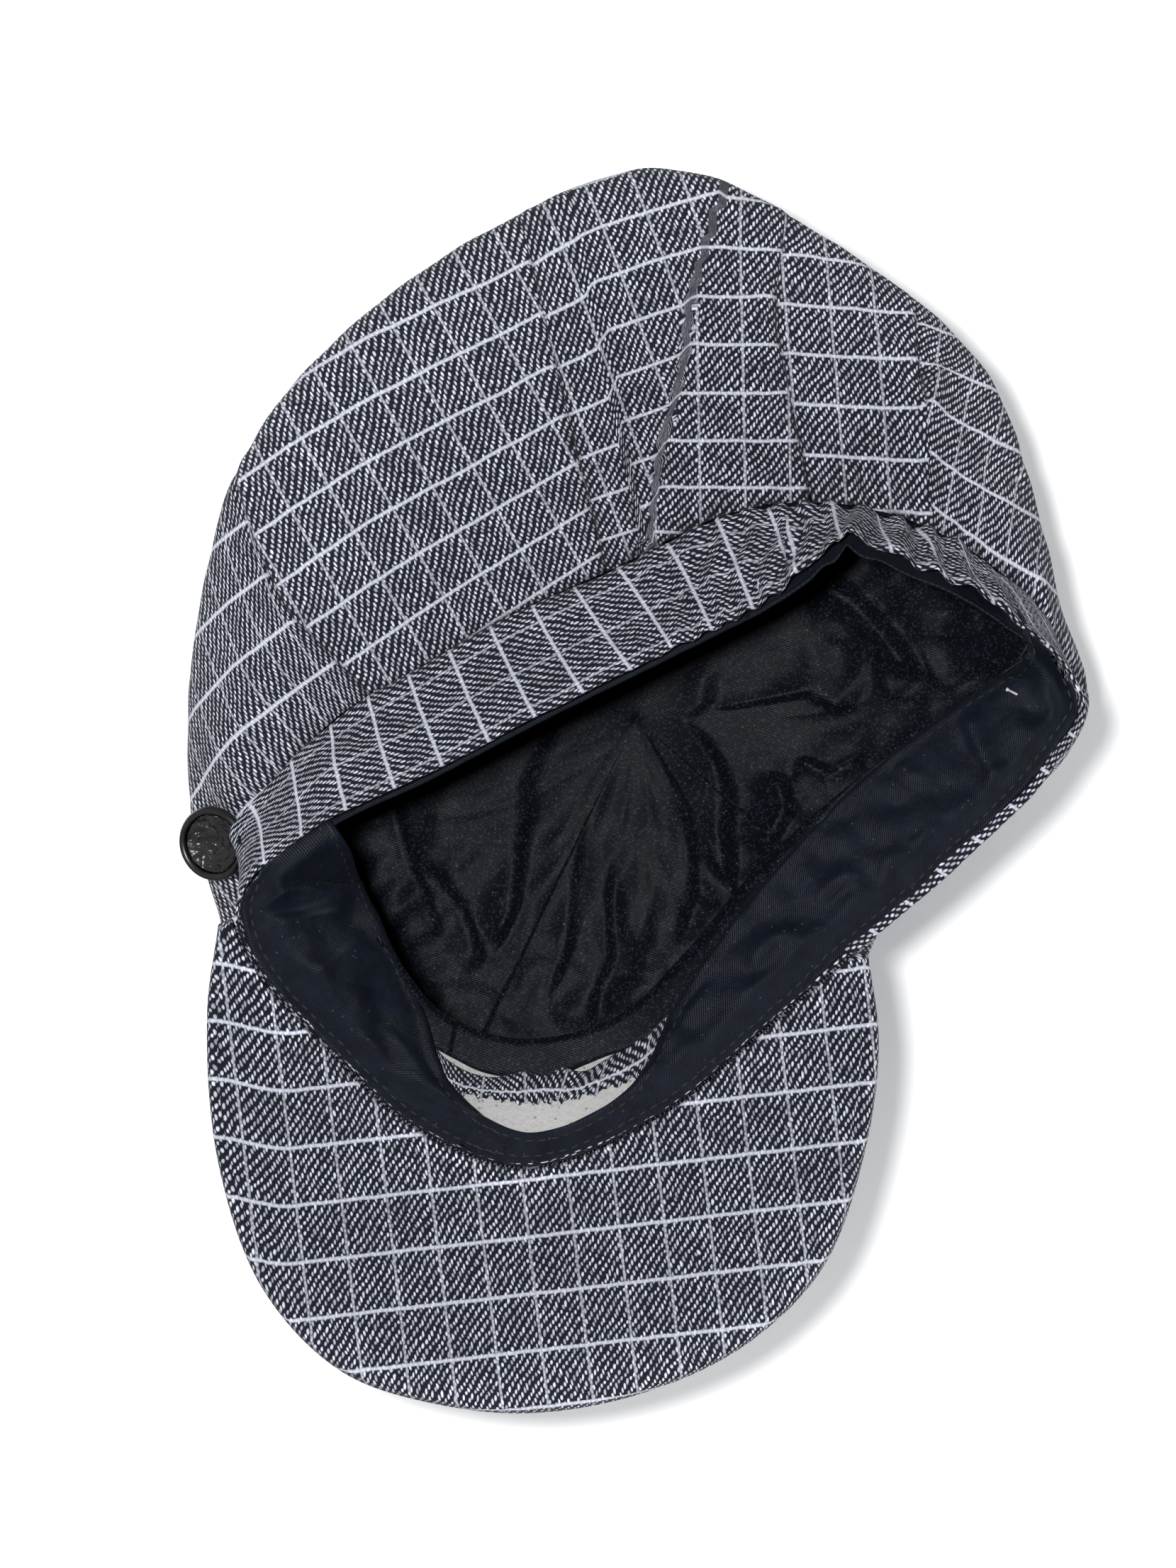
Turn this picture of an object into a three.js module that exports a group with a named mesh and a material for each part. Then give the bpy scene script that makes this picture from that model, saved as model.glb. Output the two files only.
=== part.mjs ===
// Newsboy cap, worn way up: +Z is up, the brim points to -Y and the back of the crown to +Y.
// Millimetres. The flat lower edge of the headband stands on z = 0.
// Every soft layer is a shell between two surfaces, a fraction of a millimetre clear of its neighbours.
import * as THREE from "three";

// Driving sizes
const BAND_HEIGHT = 17;
const CROWN_TOP = 92;
const SEAM_GAP = 0.6;
const FABRIC = 2.2;
const LINING_DEPTH = 4.6;
const CROWN_ROWS = 15;
const BAND_MARGIN = 0.012;
const LINING_THICK = 1.0;
const BUTTON_RADIUS = 9.5;
const BUTTON_HEIGHT = 4.5;
const BRIM_LIFT = 9;
const COVER_THICK = 0.9;
const BOARD_THICK = 1.6;
const BRIM_LAYER_GAP = 0.3;
const BRIM_BASE = 0.5;
const BOARD_INSET = 0.035;
const STUD_RADIUS = 10.2;
const STUD_STANDOFF = 2.4;

// Layers of the band, as distances inwards from the outer face of the headband
const HEADBAND = { from: 0, to: 3.4 };
const STIFFENER = { from: 4.0, to: 5.6 };
const ELASTIC = { from: 4.0, to: 5.2 };
const SWEATBAND = { from: 6.4, to: 7.8 };

// Places round the cap are stations, counted anticlockwise from the wearer's left tip: 5 is the
// middle of the back, 8 the right tip, 14 the middle of the front, and 18 is 0 again.
const STATIONS = 18;
const BACK_STATION = 5;
const CROWN_SEAMS = [1.5, 3.95, 5.6, 6.6, 8.8, 11, 13.5, 16];
const LINING_SEAMS = [1.5, 5.6, 11, 14.8];
const GATHERS = { from: 5.4, to: 7.2 };
const BRIM_SEAM = { from: 17.75, to: 11.1 };
const SWEATBAND_JOIN = 14.2;
const STUDS = [
  { side: "left", station: 17.8, rise: 0.225, lean: 0.5 },
  { side: "right", station: 10.4, rise: 0.225, lean: 0 },
];

// Closed outlines seen from above, one corner for each station
const RIM = {
  back: 0,
  front: 0,
  outline: [
    [108, -30], [88, -10], [59, 4], [30, 19], [0, 34], [-28, 48], [-56, 64], [-98, 50], [-120, 22],
    [-110, 4], [-84, -22], [-60, -42], [-34, -64], [-6, -87], [30, -101], [60, -90], [84, -68],
    [102, -48],
  ],
};
const BAND_TOP = {
  back: BAND_HEIGHT,
  front: BAND_HEIGHT,
  outline: [
    [103, -8], [84, 18], [60, 33], [34, 48], [7, 60], [-28, 76], [-60, 77], [-92, 64], [-112, 42],
    [-94, 26], [-62, 3], [-34, -22], [-14, -46], [4, -63], [32, -69], [54, -62], [70, -43],
    [86, -25],
  ],
};
const EQUATOR = {
  back: 36,
  front: 46,
  outline: [
    [121, -4], [119, 44], [106, 92], [66, 134], [30, 157], [-6, 167], [-46, 153], [-90, 116],
    [-112, 52], [-122, 22], [-98, -8], [-66, -36], [-52, -76], [-20, -110], [30, -121],
    [72, -109], [102, -80], [112, -38],
  ],
};

// Levels of the crown between its rings; share is the size next to the equator
const SAG = { back: 19, front: 25 };
const BROW = { back: 56, front: 64, share: 0.93 };
const SHOULDER = { back: 77, front: 82, share: 0.66 };
const CROWN_CENTRE = [0, 20];
const POLE_RADIUS = 6.5;
const BRIM_EDGE = [
  [112, -36], [115, -60], [112, -100], [100, -134], [79, -156], [52, -165], [28, -167],
  [0, -162], [-28, -149], [-49, -128], [-60, -98], [-64, -68], [-61, -43],
];
const BRIM_AXIS_X = 26;
const BRIM_HALF_WIDTH = 92;

const { clamp, degToRad: radians, lerp } = THREE.MathUtils;

function wrapped(station) {
  return ((station % STATIONS) + STATIONS) % STATIONS;
}

// Heights run smoothly from a back value to a front value.
function heightAt({ back, front }, station) {
  const turn = ((station - BACK_STATION) / STATIONS) * 2 * Math.PI;
  return lerp(back, front, (1 - Math.cos(turn)) / 2);
}

// A closed ring as a function of the station, and of the distance inwards from its outline.
function ringPoints(ring) {
  const corners = ring.outline.map(([x, y]) => new THREE.Vector3(x, y, 0));
  const curve = new THREE.CatmullRomCurve3(corners, true, "centripetal");
  return (station, inwards = 0) => {
    const share = wrapped(station) / STATIONS;
    const point = curve.getPoint(share);
    const tangent = curve.getTangent(share);
    point.x -= inwards * tangent.y;
    point.y += inwards * tangent.x;
    point.z = heightAt(ring, station);
    return point;
  };
}

const rimPoint = ringPoints(RIM);
const bandTopPoint = ringPoints(BAND_TOP);
const equatorPoint = ringPoints(EQUATOR);

// The underside of the crown sags a little between the band and the widest line.
function undersidePoint(station) {
  const point = bandTopPoint(station).lerp(equatorPoint(station), 0.5);
  point.z = heightAt(SAG, station);
  return point;
}

// The upper levels repeat the equator, drawn in towards the middle of the crown.
function levelPoint(level, station) {
  const point = equatorPoint(station);
  point.x = lerp(CROWN_CENTRE[0], point.x, level.share);
  point.y = lerp(CROWN_CENTRE[1], point.y, level.share);
  point.z = heightAt(level, station);
  return point;
}

function polePoint(station) {
  const middle = new THREE.Vector3(...CROWN_CENTRE, CROWN_TOP);
  const outwards = equatorPoint(station).setZ(CROWN_TOP).sub(middle).normalize();
  return middle.addScaledVector(outwards, POLE_RADIUS);
}

// The outer face of the crown: rise runs from 0 at the headband to 1 at the button.
function crownPoint(station, rise) {
  const corners = [
    bandTopPoint(station),
    undersidePoint(station),
    equatorPoint(station),
    levelPoint(BROW, station),
    levelPoint(SHOULDER, station),
    polePoint(station),
  ];
  const curve = new THREE.CatmullRomCurve3(corners, false, "centripetal");
  return curve.getPoint(clamp(rise, 0, 1));
}

function crownNormal(station, rise) {
  const step = 0.01;
  const low = Math.max(rise - step, 0);
  const high = Math.min(rise + step, 1);
  const along = crownPoint(station, high).sub(crownPoint(station, low));
  const around = crownPoint(station + 0.1, rise).sub(crownPoint(station - 0.1, rise));
  return around.cross(along).normalize();
}

// A point under the crown's outer face, kept half a seam gap away from both edges of its panel.
function panelPoint(from, to, across, rise, depth) {
  const edge = across < 0.5 ? from : to;
  const step = 0.05;
  const speed = crownPoint(edge + step, rise).distanceTo(crownPoint(edge, rise)) / step;
  const margin = SEAM_GAP / 2 / speed;
  const point = crownPoint(lerp(from + margin, to - margin, across), rise);
  return point.addScaledVector(crownNormal(lerp(from, to, across), rise), -depth);
}

// The band leans backwards from the rim to its top edge; height share 0 is the rim.
function bandPoint(station, share, inwards) {
  return rimPoint(station, inwards).lerp(bandTopPoint(station, inwards), share);
}

const materials = {
  plaid: { color: [0.4, 0.41, 0.45], roughness: 0.95, metalness: 0 },
  lining: { color: [0.045, 0.046, 0.055], roughness: 0.6, metalness: 0 },
  tape: { color: [0.05, 0.056, 0.08], roughness: 0.85, metalness: 0 },
  felt: { color: [0.85, 0.84, 0.82], roughness: 1, metalness: 0 },
  board: { color: [0.12, 0.12, 0.13], roughness: 0.6, metalness: 0 },
  elastic: { color: [0.1, 0.1, 0.11], roughness: 0.9, metalness: 0 },
  gunmetal: { color: [0.16, 0.155, 0.15], roughness: 0.35, metalness: 1 },
  nylon: { color: [0.85, 0.87, 0.9], roughness: 0.4, metalness: 0 },
};

const cap = new THREE.Group();
cap.name = "newsboy_cap";

function addMesh(name, kind, geometry) {
  const { color, roughness, metalness } = materials[kind];
  const material = new THREE.MeshStandardMaterial({
    color: new THREE.Color(...color),
    roughness,
    metalness,
  });
  const mesh = new THREE.Mesh(geometry, material);
  mesh.name = name;
  cap.add(mesh);
  return mesh;
}

function signedVolume(points, faces) {
  const cross = new THREE.Vector3();
  return faces.reduce((sum, [a, b, c]) => {
    cross.crossVectors(points[b], points[c]);
    return sum + points[a].dot(cross) / 6;
  }, 0);
}

// One closed solid between two surfaces given over the unit square.
function slab(outer, inner, columns, rows) {
  const points = [];
  for (const surface of [outer, inner]) {
    for (let row = 0; row <= rows; row++) {
      for (let column = 0; column <= columns; column++) {
        points.push(surface(column / columns, row / rows));
      }
    }
  }
  const layer = (columns + 1) * (rows + 1);
  const at = (column, row, side) => side * layer + row * (columns + 1) + column;
  const faces = [];
  const quad = (a, b, c, d) => faces.push([a, b, c], [a, c, d]);
  for (let row = 0; row < rows; row++) {
    for (let column = 0; column < columns; column++) {
      const [right, up] = [column + 1, row + 1];
      quad(at(column, row, 0), at(right, row, 0), at(right, up, 0), at(column, up, 0));
      quad(at(column, row, 1), at(column, up, 1), at(right, up, 1), at(right, row, 1));
    }
  }
  for (let column = 0; column < columns; column++) {
    const right = column + 1;
    quad(at(column, 0, 1), at(right, 0, 1), at(right, 0, 0), at(column, 0, 0));
    quad(at(column, rows, 0), at(right, rows, 0), at(right, rows, 1), at(column, rows, 1));
  }
  for (let row = 0; row < rows; row++) {
    const up = row + 1;
    quad(at(0, row, 0), at(0, up, 0), at(0, up, 1), at(0, row, 1));
    quad(at(columns, row, 0), at(columns, row, 1), at(columns, up, 1), at(columns, up, 0));
  }
  if (signedVolume(points, faces) < 0) {
    faces.forEach((face) => face.reverse());
  }
  const geometry = new THREE.BufferGeometry().setFromPoints(points);
  geometry.setIndex(faces.flat());
  geometry.computeVertexNormals();
  return geometry;
}

// The stations from one seam to the next, always anticlockwise.
function spanBetween(seams, index) {
  const from = seams[index];
  const next = seams[(index + 1) % seams.length];
  return [from, next > from ? next : next + STATIONS];
}

function addCrown() {
  CROWN_SEAMS.forEach((_, index) => {
    const [from, to] = spanBetween(CROWN_SEAMS, index);
    const face = (depth) => (u, v) => panelPoint(from, to, u, v, depth);
    addMesh(`crown_panel_${index + 1}`, "plaid", slab(face(0), face(FABRIC), 4, CROWN_ROWS));
  });
}

function addLining() {
  LINING_SEAMS.forEach((_, index) => {
    const [from, to] = spanBetween(LINING_SEAMS, index);
    const face = (depth) => (u, v) => {
      return panelPoint(from, to, u, clamp(v, 0.03, 0.97), depth);
    };
    const solid = slab(face(LINING_DEPTH), face(LINING_DEPTH + LINING_THICK), 8, CROWN_ROWS);
    addMesh(`lining_panel_${index + 1}`, "lining", solid);
  });
}

// A strip of the band between two stations, from one height share to another.
function addBandStrip(name, kind, layer, stations, shares, columns) {
  const face = (inwards) => (u, v) => {
    const station = lerp(stations[0] + BAND_MARGIN, stations[1] - BAND_MARGIN, u);
    return bandPoint(station, lerp(shares[0], shares[1], v), inwards);
  };
  addMesh(name, kind, slab(face(layer.from), face(layer.to), columns, 2));
}

function addBand() {
  const full = [0, 0.97];
  const short = [0.06, 0.92];
  const inner = [0.04, 0.97];
  const { from, to } = GATHERS;
  addBandStrip("headband_left", "plaid", HEADBAND, [-0.3, from], full, 18);
  addBandStrip("headband_back_gathered", "plaid", HEADBAND, [from, to], full, 6);
  addBandStrip("headband_right", "plaid", HEADBAND, [to, 11.1], full, 16);
  addBandStrip("headband_front", "plaid", HEADBAND, [11.1, 17.7], full, 20);
  addBandStrip("back_elastic", "elastic", ELASTIC, [from, to], short, 6);
  addBandStrip("front_stiffener", "felt", STIFFENER, [11.6, 17.2], short, 17);
  addBandStrip("sweatband_left", "tape", SWEATBAND, [SWEATBAND_JOIN - STATIONS, 5], inner, 27);
  addBandStrip("sweatband_right", "tape", SWEATBAND, [5, SWEATBAND_JOIN], inner, 27);
}

// The brim is swept from its seam on the rim (reach 0) to its outer edge (reach 1).
const brimEdge = new THREE.CatmullRomCurve3(
  BRIM_EDGE.map(([x, y]) => new THREE.Vector3(x, y, 0)),
  false,
  "centripetal",
);

function brimPoint(along, reach, height) {
  const seam = rimPoint(lerp(BRIM_SEAM.from, BRIM_SEAM.to, along), -SEAM_GAP);
  const point = seam.lerp(brimEdge.getPointAt(along), reach);
  const sideways = (point.x - BRIM_AXIS_X) / BRIM_HALF_WIDTH;
  point.z = height + BRIM_LIFT * reach * Math.max(0, 1 - sideways * sideways);
  return point;
}

function addBrimLayer(name, kind, bottom, thickness, inset, columns) {
  const face = (height) => (u, v) => {
    return brimPoint(lerp(inset, 1 - inset, u), lerp(inset, 1 - inset, v), height);
  };
  addMesh(name, kind, slab(face(bottom + thickness), face(bottom), columns, 4));
}

function addBrim() {
  const boardBottom = BRIM_BASE + COVER_THICK + BRIM_LAYER_GAP;
  const topBottom = boardBottom + BOARD_THICK + BRIM_LAYER_GAP;
  addBrimLayer("brim_under_cover", "plaid", BRIM_BASE, COVER_THICK, 0, 24);
  addBrimLayer("brim_board", "board", boardBottom, BOARD_THICK, BOARD_INSET, 22);
  addBrimLayer("brim_top_cover", "plaid", topBottom, COVER_THICK, 0, 24);
}

// Turned pieces are lathed round +Z and then stood on a point of the cap, facing outwards.
function addTurned(name, kind, profile, segments, position, facing) {
  const points = profile.map(([radius, height]) => new THREE.Vector2(radius, height));
  const geometry = new THREE.LatheGeometry(points, segments);
  const turn = new THREE.Quaternion();
  geometry.rotateX(Math.PI / 2);
  turn.setFromUnitVectors(new THREE.Vector3(0, 0, 1), facing);
  geometry.applyQuaternion(turn);
  geometry.translate(position.x, position.y, position.z);
  return addMesh(name, kind, geometry);
}

function addButton() {
  const base = new THREE.Vector3(...CROWN_CENTRE, CROWN_TOP + 0.5);
  const up = new THREE.Vector3(0, 0, 1);
  const coreRadius = BUTTON_RADIUS - 1.4;
  const coreHeight = BUTTON_HEIGHT - 1.4;
  const dome = (radius, foot, top, steps) => {
    return Array.from({ length: steps + 1 }, (_, step) => {
      const turn = (step / steps) * (Math.PI / 2);
      return [radius * Math.cos(turn), foot + (top - foot) * Math.sin(turn)];
    });
  };
  const core = [[0, 0], ...dome(coreRadius, 0.6, coreHeight, 3)];
  const outside = dome(BUTTON_RADIUS, 0.6, BUTTON_HEIGHT, 4);
  const inside = dome(coreRadius + 0.4, 0.6, coreHeight + 0.4, 4).reverse();
  const cover = [...inside, [coreRadius + 0.4, 0], [BUTTON_RADIUS, 0], ...outside];
  addTurned("crown_button_core", "board", core, 20, base, up);
  addTurned("crown_button_cover", "plaid", cover, 20, base, up);
}

// A concave metal dish inside a rolled rim, on a short post that stands off the fabric.
function addStud({ side, station, rise, lean }) {
  const down = new THREE.Vector3(0, 0, -1);
  const normal = crownNormal(station, rise);
  const facing = normal.clone().lerp(down, lean).normalize();
  const foot = crownPoint(station, rise).addScaledVector(normal, 0.6);
  const rimRadius = 1.5;
  const rimCentre = STUD_RADIUS - rimRadius;
  const rim = Array.from({ length: 9 }, (_, step) => {
    const turn = (step / 8) * 2 * Math.PI;
    const radius = rimCentre + rimRadius * Math.cos(turn);
    return [radius, STUD_STANDOFF + rimRadius + rimRadius * Math.sin(turn)];
  });
  const dishRadius = rimCentre - rimRadius - 0.3;
  const dish = [
    [0, STUD_STANDOFF],
    [dishRadius, STUD_STANDOFF + 0.8],
    [dishRadius, STUD_STANDOFF + 2.2],
    [dishRadius * 0.6, STUD_STANDOFF + 1.3],
    [0, STUD_STANDOFF + 0.9],
  ];
  const post = [[0, 0], [2.2, 0], [2.2, STUD_STANDOFF - 0.3], [0, STUD_STANDOFF - 0.3]];
  addTurned(`stud_${side}_rim`, "gunmetal", rim, 24, foot, facing);
  addTurned(`stud_${side}_dish`, "gunmetal", dish, 24, foot, facing);
  addTurned(`stud_${side}_post`, "gunmetal", post, 16, foot, facing);
}

// The stub of a plastic tag fastener left in the sweatband on the wearer's right.
function addTagStub() {
  const length = 6;
  const face = bandPoint(8.7, 0.45, SWEATBAND.to + 2);
  const geometry = new THREE.CylinderGeometry(0.6, 0.6, length, 8);
  geometry.rotateZ(radians(62));
  geometry.translate(face.x, face.y, face.z);
  addMesh("tag_fastener_stub", "nylon", geometry);
}

addCrown();
addLining();
addBand();
addBrim();
addButton();
STUDS.forEach(addStud);
addTagStub();

// Centre the outline over the origin; the rim already stands on z = 0.
const bounds = new THREE.Box3().setFromObject(cap);
cap.children.forEach((mesh) => {
  mesh.geometry.translate(
    -(bounds.min.x + bounds.max.x) / 2,
    -(bounds.min.y + bounds.max.y) / 2,
    0,
  );
});

export default cap;
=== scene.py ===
import math

import bpy
import numpy as np
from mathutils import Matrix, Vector


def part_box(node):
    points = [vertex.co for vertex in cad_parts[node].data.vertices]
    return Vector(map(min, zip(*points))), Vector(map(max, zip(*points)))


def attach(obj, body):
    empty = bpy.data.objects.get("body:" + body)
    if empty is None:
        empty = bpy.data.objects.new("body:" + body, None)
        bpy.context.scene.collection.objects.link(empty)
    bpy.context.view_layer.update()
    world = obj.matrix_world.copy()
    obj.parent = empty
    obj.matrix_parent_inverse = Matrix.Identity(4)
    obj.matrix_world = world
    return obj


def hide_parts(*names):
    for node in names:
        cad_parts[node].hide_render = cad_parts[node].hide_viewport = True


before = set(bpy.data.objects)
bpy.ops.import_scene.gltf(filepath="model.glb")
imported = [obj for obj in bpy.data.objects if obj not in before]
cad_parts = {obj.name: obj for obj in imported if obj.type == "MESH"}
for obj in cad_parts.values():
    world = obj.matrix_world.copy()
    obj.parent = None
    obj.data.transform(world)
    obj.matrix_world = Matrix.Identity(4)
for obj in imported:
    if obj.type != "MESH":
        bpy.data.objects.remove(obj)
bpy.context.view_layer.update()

# The cap is worn way up: +Z is up and the brim points to -Y. Lengths below are millimetres, and
# only put_in_frame() turns them into metres.
MM = 0.001
BODY = "root"

# ---------------------------------------------------------------- outlines shared with the CAD
STATIONS = 18  # places round the opening: each closed outline below has a corner at each
BACK_STATION = 5
BAND_HEIGHT = 17
CROWN_TOP = 92
CROWN_CENTRE = np.array([0.0, 20.0])
POLE_RADIUS = 6.5
RIM = [
    (108, -30), (88, -10), (59, 4), (30, 19), (0, 34), (-28, 48), (-56, 64), (-98, 50), (-120, 22),
    (-110, 4), (-84, -22), (-60, -42), (-34, -64), (-6, -87), (30, -101), (60, -90), (84, -68),
    (102, -48),
]
BAND_TOP = [
    (103, -8), (84, 18), (60, 33), (34, 48), (7, 60), (-28, 76), (-60, 77), (-92, 64), (-112, 42),
    (-94, 26), (-62, 3), (-34, -22), (-14, -46), (4, -63), (32, -69), (54, -62), (70, -43),
    (86, -25),
]
EQUATOR = [
    (121, -4), (119, 44), (106, 92), (66, 134), (30, 157), (-6, 167), (-46, 153), (-90, 116),
    (-112, 52), (-122, 22), (-98, -8), (-66, -36), (-52, -76), (-20, -110), (30, -121),
    (72, -109), (102, -80), (112, -38),
]
UNDER_HEIGHTS = (19, 25)  # of the crown halfway to its widest line, at the back and the front
EQUATOR_HEIGHTS = (36, 46)
SHOULDER = (56, 64, 0.93)  # heights at the back and the front, share of the widest outline
BROW = (77, 82, 0.66)
CROWN_SEAMS = [1.5, 3.95, 5.6, 6.6, 8.8, 11, 13.5, 16]
LINING_SEAMS = [1.5, 5.6, 11, 14.8]
BRIM_EDGE = [
    (112, -36), (115, -60), (112, -100), (100, -134), (79, -156), (52, -165), (28, -167),
    (0, -162), (-28, -149), (-49, -128), (-60, -98), (-64, -68), (-61, -43),
]
BRIM_SEAM = (17.75, 11.1)
BRIM_MIDDLE = (27, -75)
BRIM_AXIS_X = 26
BRIM_HALF_WIDTH = 92
BRIM_LIFT = 9
EQUATOR_RISE = 0.4  # rise of the crown's widest line

# Where the elastic draws the hem up, and where the band's top laps over the left stud.
PULL_STATION = 5.98
PULL_HEIGHT = 5
PULL_RIPPLE = 1.4
PULL_WIDTH = 0.28
LAP_STATION = 17.87
LAP = np.array([7.5, -2.5, -6.5])
LAP_WIDTH = 0.4
LAP_DEPTH = 3  # layers that lie deeper behind the band's face don't lap

button_low, button_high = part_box("crown_button_cover")
SHIFT = np.array([
    (button_low.x + button_high.x) / 2 / MM - CROWN_CENTRE[0],
    (button_low.y + button_high.y) / 2 / MM - CROWN_CENTRE[1],
    0.0,
])


def put_in_frame(points):
    """Points of this drawing as metres of the frame."""
    return (np.asarray(points, float) + SHIFT) * MM


def lerp(a, b, share):
    """The value at that share of the way from a to b."""
    return a + (b - a) * share


def smooth(value, low, high):
    """0 under low, 1 over high and a soft step between."""
    share = np.clip((value - low) / (high - low), 0, 1)
    return share * share * (3 - 2 * share)


def window(value, low, full, past, high):
    """1 between full and past, 0 outside low and high, with soft steps between."""
    return smooth(value, low, full) * (1 - smooth(value, past, high))


def bell(distance, width):
    """1 at distance 0, falling to nothing over about twice that width."""
    return np.exp(-((distance / width) ** 2))


def unit(vectors):
    return vectors / np.maximum(np.linalg.norm(vectors, axis=-1, keepdims=True), 1e-9)


def spline(corners, share, closed=False):
    """Points at share 0..1 of a centripetal Catmull-Rom curve. The corners may differ from point
    to point: their array is then (corner, *share.shape, axes)."""
    corners = np.asarray(corners, float)
    share = np.asarray(share, float)
    count = len(corners)
    if closed:
        place = np.mod(share, 1) * count
        last = count - 1
        corners = np.concatenate([corners[-1:], corners, corners[:2]])
    else:
        place = np.clip(share, 0, 1) * (count - 1)
        last = count - 2
        before = 2 * corners[:1] - corners[1:2]
        after = 2 * corners[-1:] - corners[-2:-1]
        corners = np.concatenate([before, corners, after])
    index = np.minimum(place.astype(int), last)
    t = (place - index)[..., None]
    if corners.ndim == 2:
        a, b, c, d = (corners[index + k] for k in range(4))
    else:
        pick = index[None, ..., None]
        a, b, c, d = (np.take_along_axis(corners, pick + k, axis=0)[0] for k in range(4))
    steps = [np.maximum(np.linalg.norm(q - p, axis=-1, keepdims=True), 1e-6) ** 0.5
             for p, q in ((a, b), (b, c), (c, d))]
    s0, s1, s2 = steps
    start = ((b - a) / s0 - (c - a) / (s0 + s1) + (c - b) / s1) * s1
    stop = ((c - b) / s1 - (d - b) / (s1 + s2) + (d - c) / s2) * s1
    return (b + start * t + (-3 * b + 3 * c - 2 * start - stop) * t ** 2
            + (2 * b - 2 * c + start + stop) * t ** 3)


def height_at(back, front, station):
    """A height that changes smoothly from the back of the opening to the front."""
    turn = (station - BACK_STATION) / STATIONS * 2 * math.pi
    return back + (front - back) * (1 - np.cos(turn)) / 2


def ring(outline, back, front, station, inwards=0.0):
    """Points of a closed outline at these stations, moved inwards from it."""
    station = np.asarray(station, float)
    share = station / STATIONS
    flat = spline(outline, share, True)
    tangent = unit(spline(outline, share + 1e-4, True) - spline(outline, share - 1e-4, True))
    x = flat[..., 0] - inwards * tangent[..., 1]
    y = flat[..., 1] + inwards * tangent[..., 0]
    return np.stack([x, y, height_at(back, front, station)], axis=-1)


def rim(station, inwards=0.0):
    return ring(RIM, 0, 0, station, inwards)


def band_top(station, inwards=0.0):
    return ring(BAND_TOP, BAND_HEIGHT, BAND_HEIGHT, station, inwards)


def equator(station):
    return ring(EQUATOR, *EQUATOR_HEIGHTS, station)


def crown(station, rise):
    """The crown's outer face: rise 0 is the band's top and 1 the button."""
    station, rise = np.broadcast_arrays(np.asarray(station, float), np.asarray(rise, float))
    low, wide = band_top(station), equator(station)
    under = (low + wide) / 2
    under[..., 2] = height_at(*UNDER_HEIGHTS, station)

    def level(back, front, share):
        point = wide.copy()
        point[..., :2] = lerp(CROWN_CENTRE, wide[..., :2], share)
        point[..., 2] = height_at(back, front, station)
        return point

    pole = wide.copy()
    pole[..., :2] = CROWN_CENTRE + POLE_RADIUS * unit(wide[..., :2] - CROWN_CENTRE)
    pole[..., 2] = CROWN_TOP
    corners = np.stack([low, under, wide, level(*SHOULDER), level(*BROW), pole])
    return spline(corners, rise)


def crown_normal(station, rise):
    along = crown(station, np.minimum(rise + 0.01, 1)) - crown(station, np.maximum(rise - 0.01, 0))
    around = crown(station + 0.1, rise) - crown(station - 0.1, rise)
    return unit(np.cross(around, along))


def band_face(station, share, depth=0.0):
    """The band's outer face from the rim (share 0) to its top (share 1), and depths behind it."""
    station, share, depth = np.broadcast_arrays(*(np.asarray(a, float)
                                                  for a in (station, share, depth)))
    low, high = rim(station), band_top(station)
    around = rim(station + 0.1) - rim(station - 0.1)
    inwards = -unit(np.cross(around, high - low))
    face = lerp(low, high, share[..., None]) + inwards * depth[..., None]
    turn = np.mod(station, STATIONS) - PULL_STATION
    pull = (PULL_HEIGHT + PULL_RIPPLE * np.cos(turn * 21)) * bell(turn, PULL_WIDTH)
    face[..., 1] += pull * np.clip(1 - share, 0, 1)
    turn = np.mod(station - LAP_STATION + STATIONS / 2, STATIONS) - STATIONS / 2
    lap = bell(turn, LAP_WIDTH) * np.clip(share, 0, 1) ** 2 * (depth < LAP_DEPTH)
    return face + lap[..., None] * LAP


# ---------------------------------------------------------------- helpers for cloth grids
def waves(points, length, seed, count=16):
    """Smooth bumps of about that length, mostly within -1..1 and the same on each run."""
    rng = np.random.default_rng(seed)
    directions = unit(rng.normal(size=(count, points.shape[-1])))
    rates = 2 * math.pi / length * rng.uniform(0.7, 1.4, count)
    phases = rng.uniform(0, 2 * math.pi, count)
    return np.sin(points @ (directions * rates[:, None]).T + phases).sum(-1) / count ** 0.5


def swells(points, table):
    """Waves of several sizes together; the table lists their lengths, seeds and heights."""
    return sum(waves(points, length, seed) * height for length, seed, height in table)


def beside(points, line):
    """Signed distance from a line seen from above, positive on its left, and the share along."""
    flat = points[..., :2]
    line = np.asarray(line, float)
    spans = np.linalg.norm(np.diff(line, axis=0), axis=1)
    starts = np.concatenate([[0], np.cumsum(spans)])
    nearest = np.full(flat.shape[:-1], 1e9)
    signed = np.zeros(flat.shape[:-1])
    share = np.zeros(flat.shape[:-1])
    for a, b, span, start in zip(line, line[1:], spans, starts):
        along = np.clip(((flat - a) @ (b - a)) / span ** 2, 0, 1)
        gap = flat - a - along[..., None] * (b - a)
        distance = np.linalg.norm(gap, axis=-1)
        side = np.sign((b - a)[0] * (flat - a)[..., 1] - (b - a)[1] * (flat - a)[..., 0])
        closer = distance < nearest
        nearest = np.where(closer, distance, nearest)
        signed = np.where(closer, distance * side, signed)
        share = np.where(closer, (start + along * span) / starts[-1], share)
    return signed, share


def crease(points, line, width, fade=0.15):
    """1 on a line, falling to 0 within about that width, and fading towards the line's ends."""
    signed, share = beside(points, line)
    ends = smooth(share, 0, fade) * smooth(1 - share, 0, fade)
    return bell(signed, width) * ends


FOLD_STEEP_WIDTH = 1.6


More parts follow.
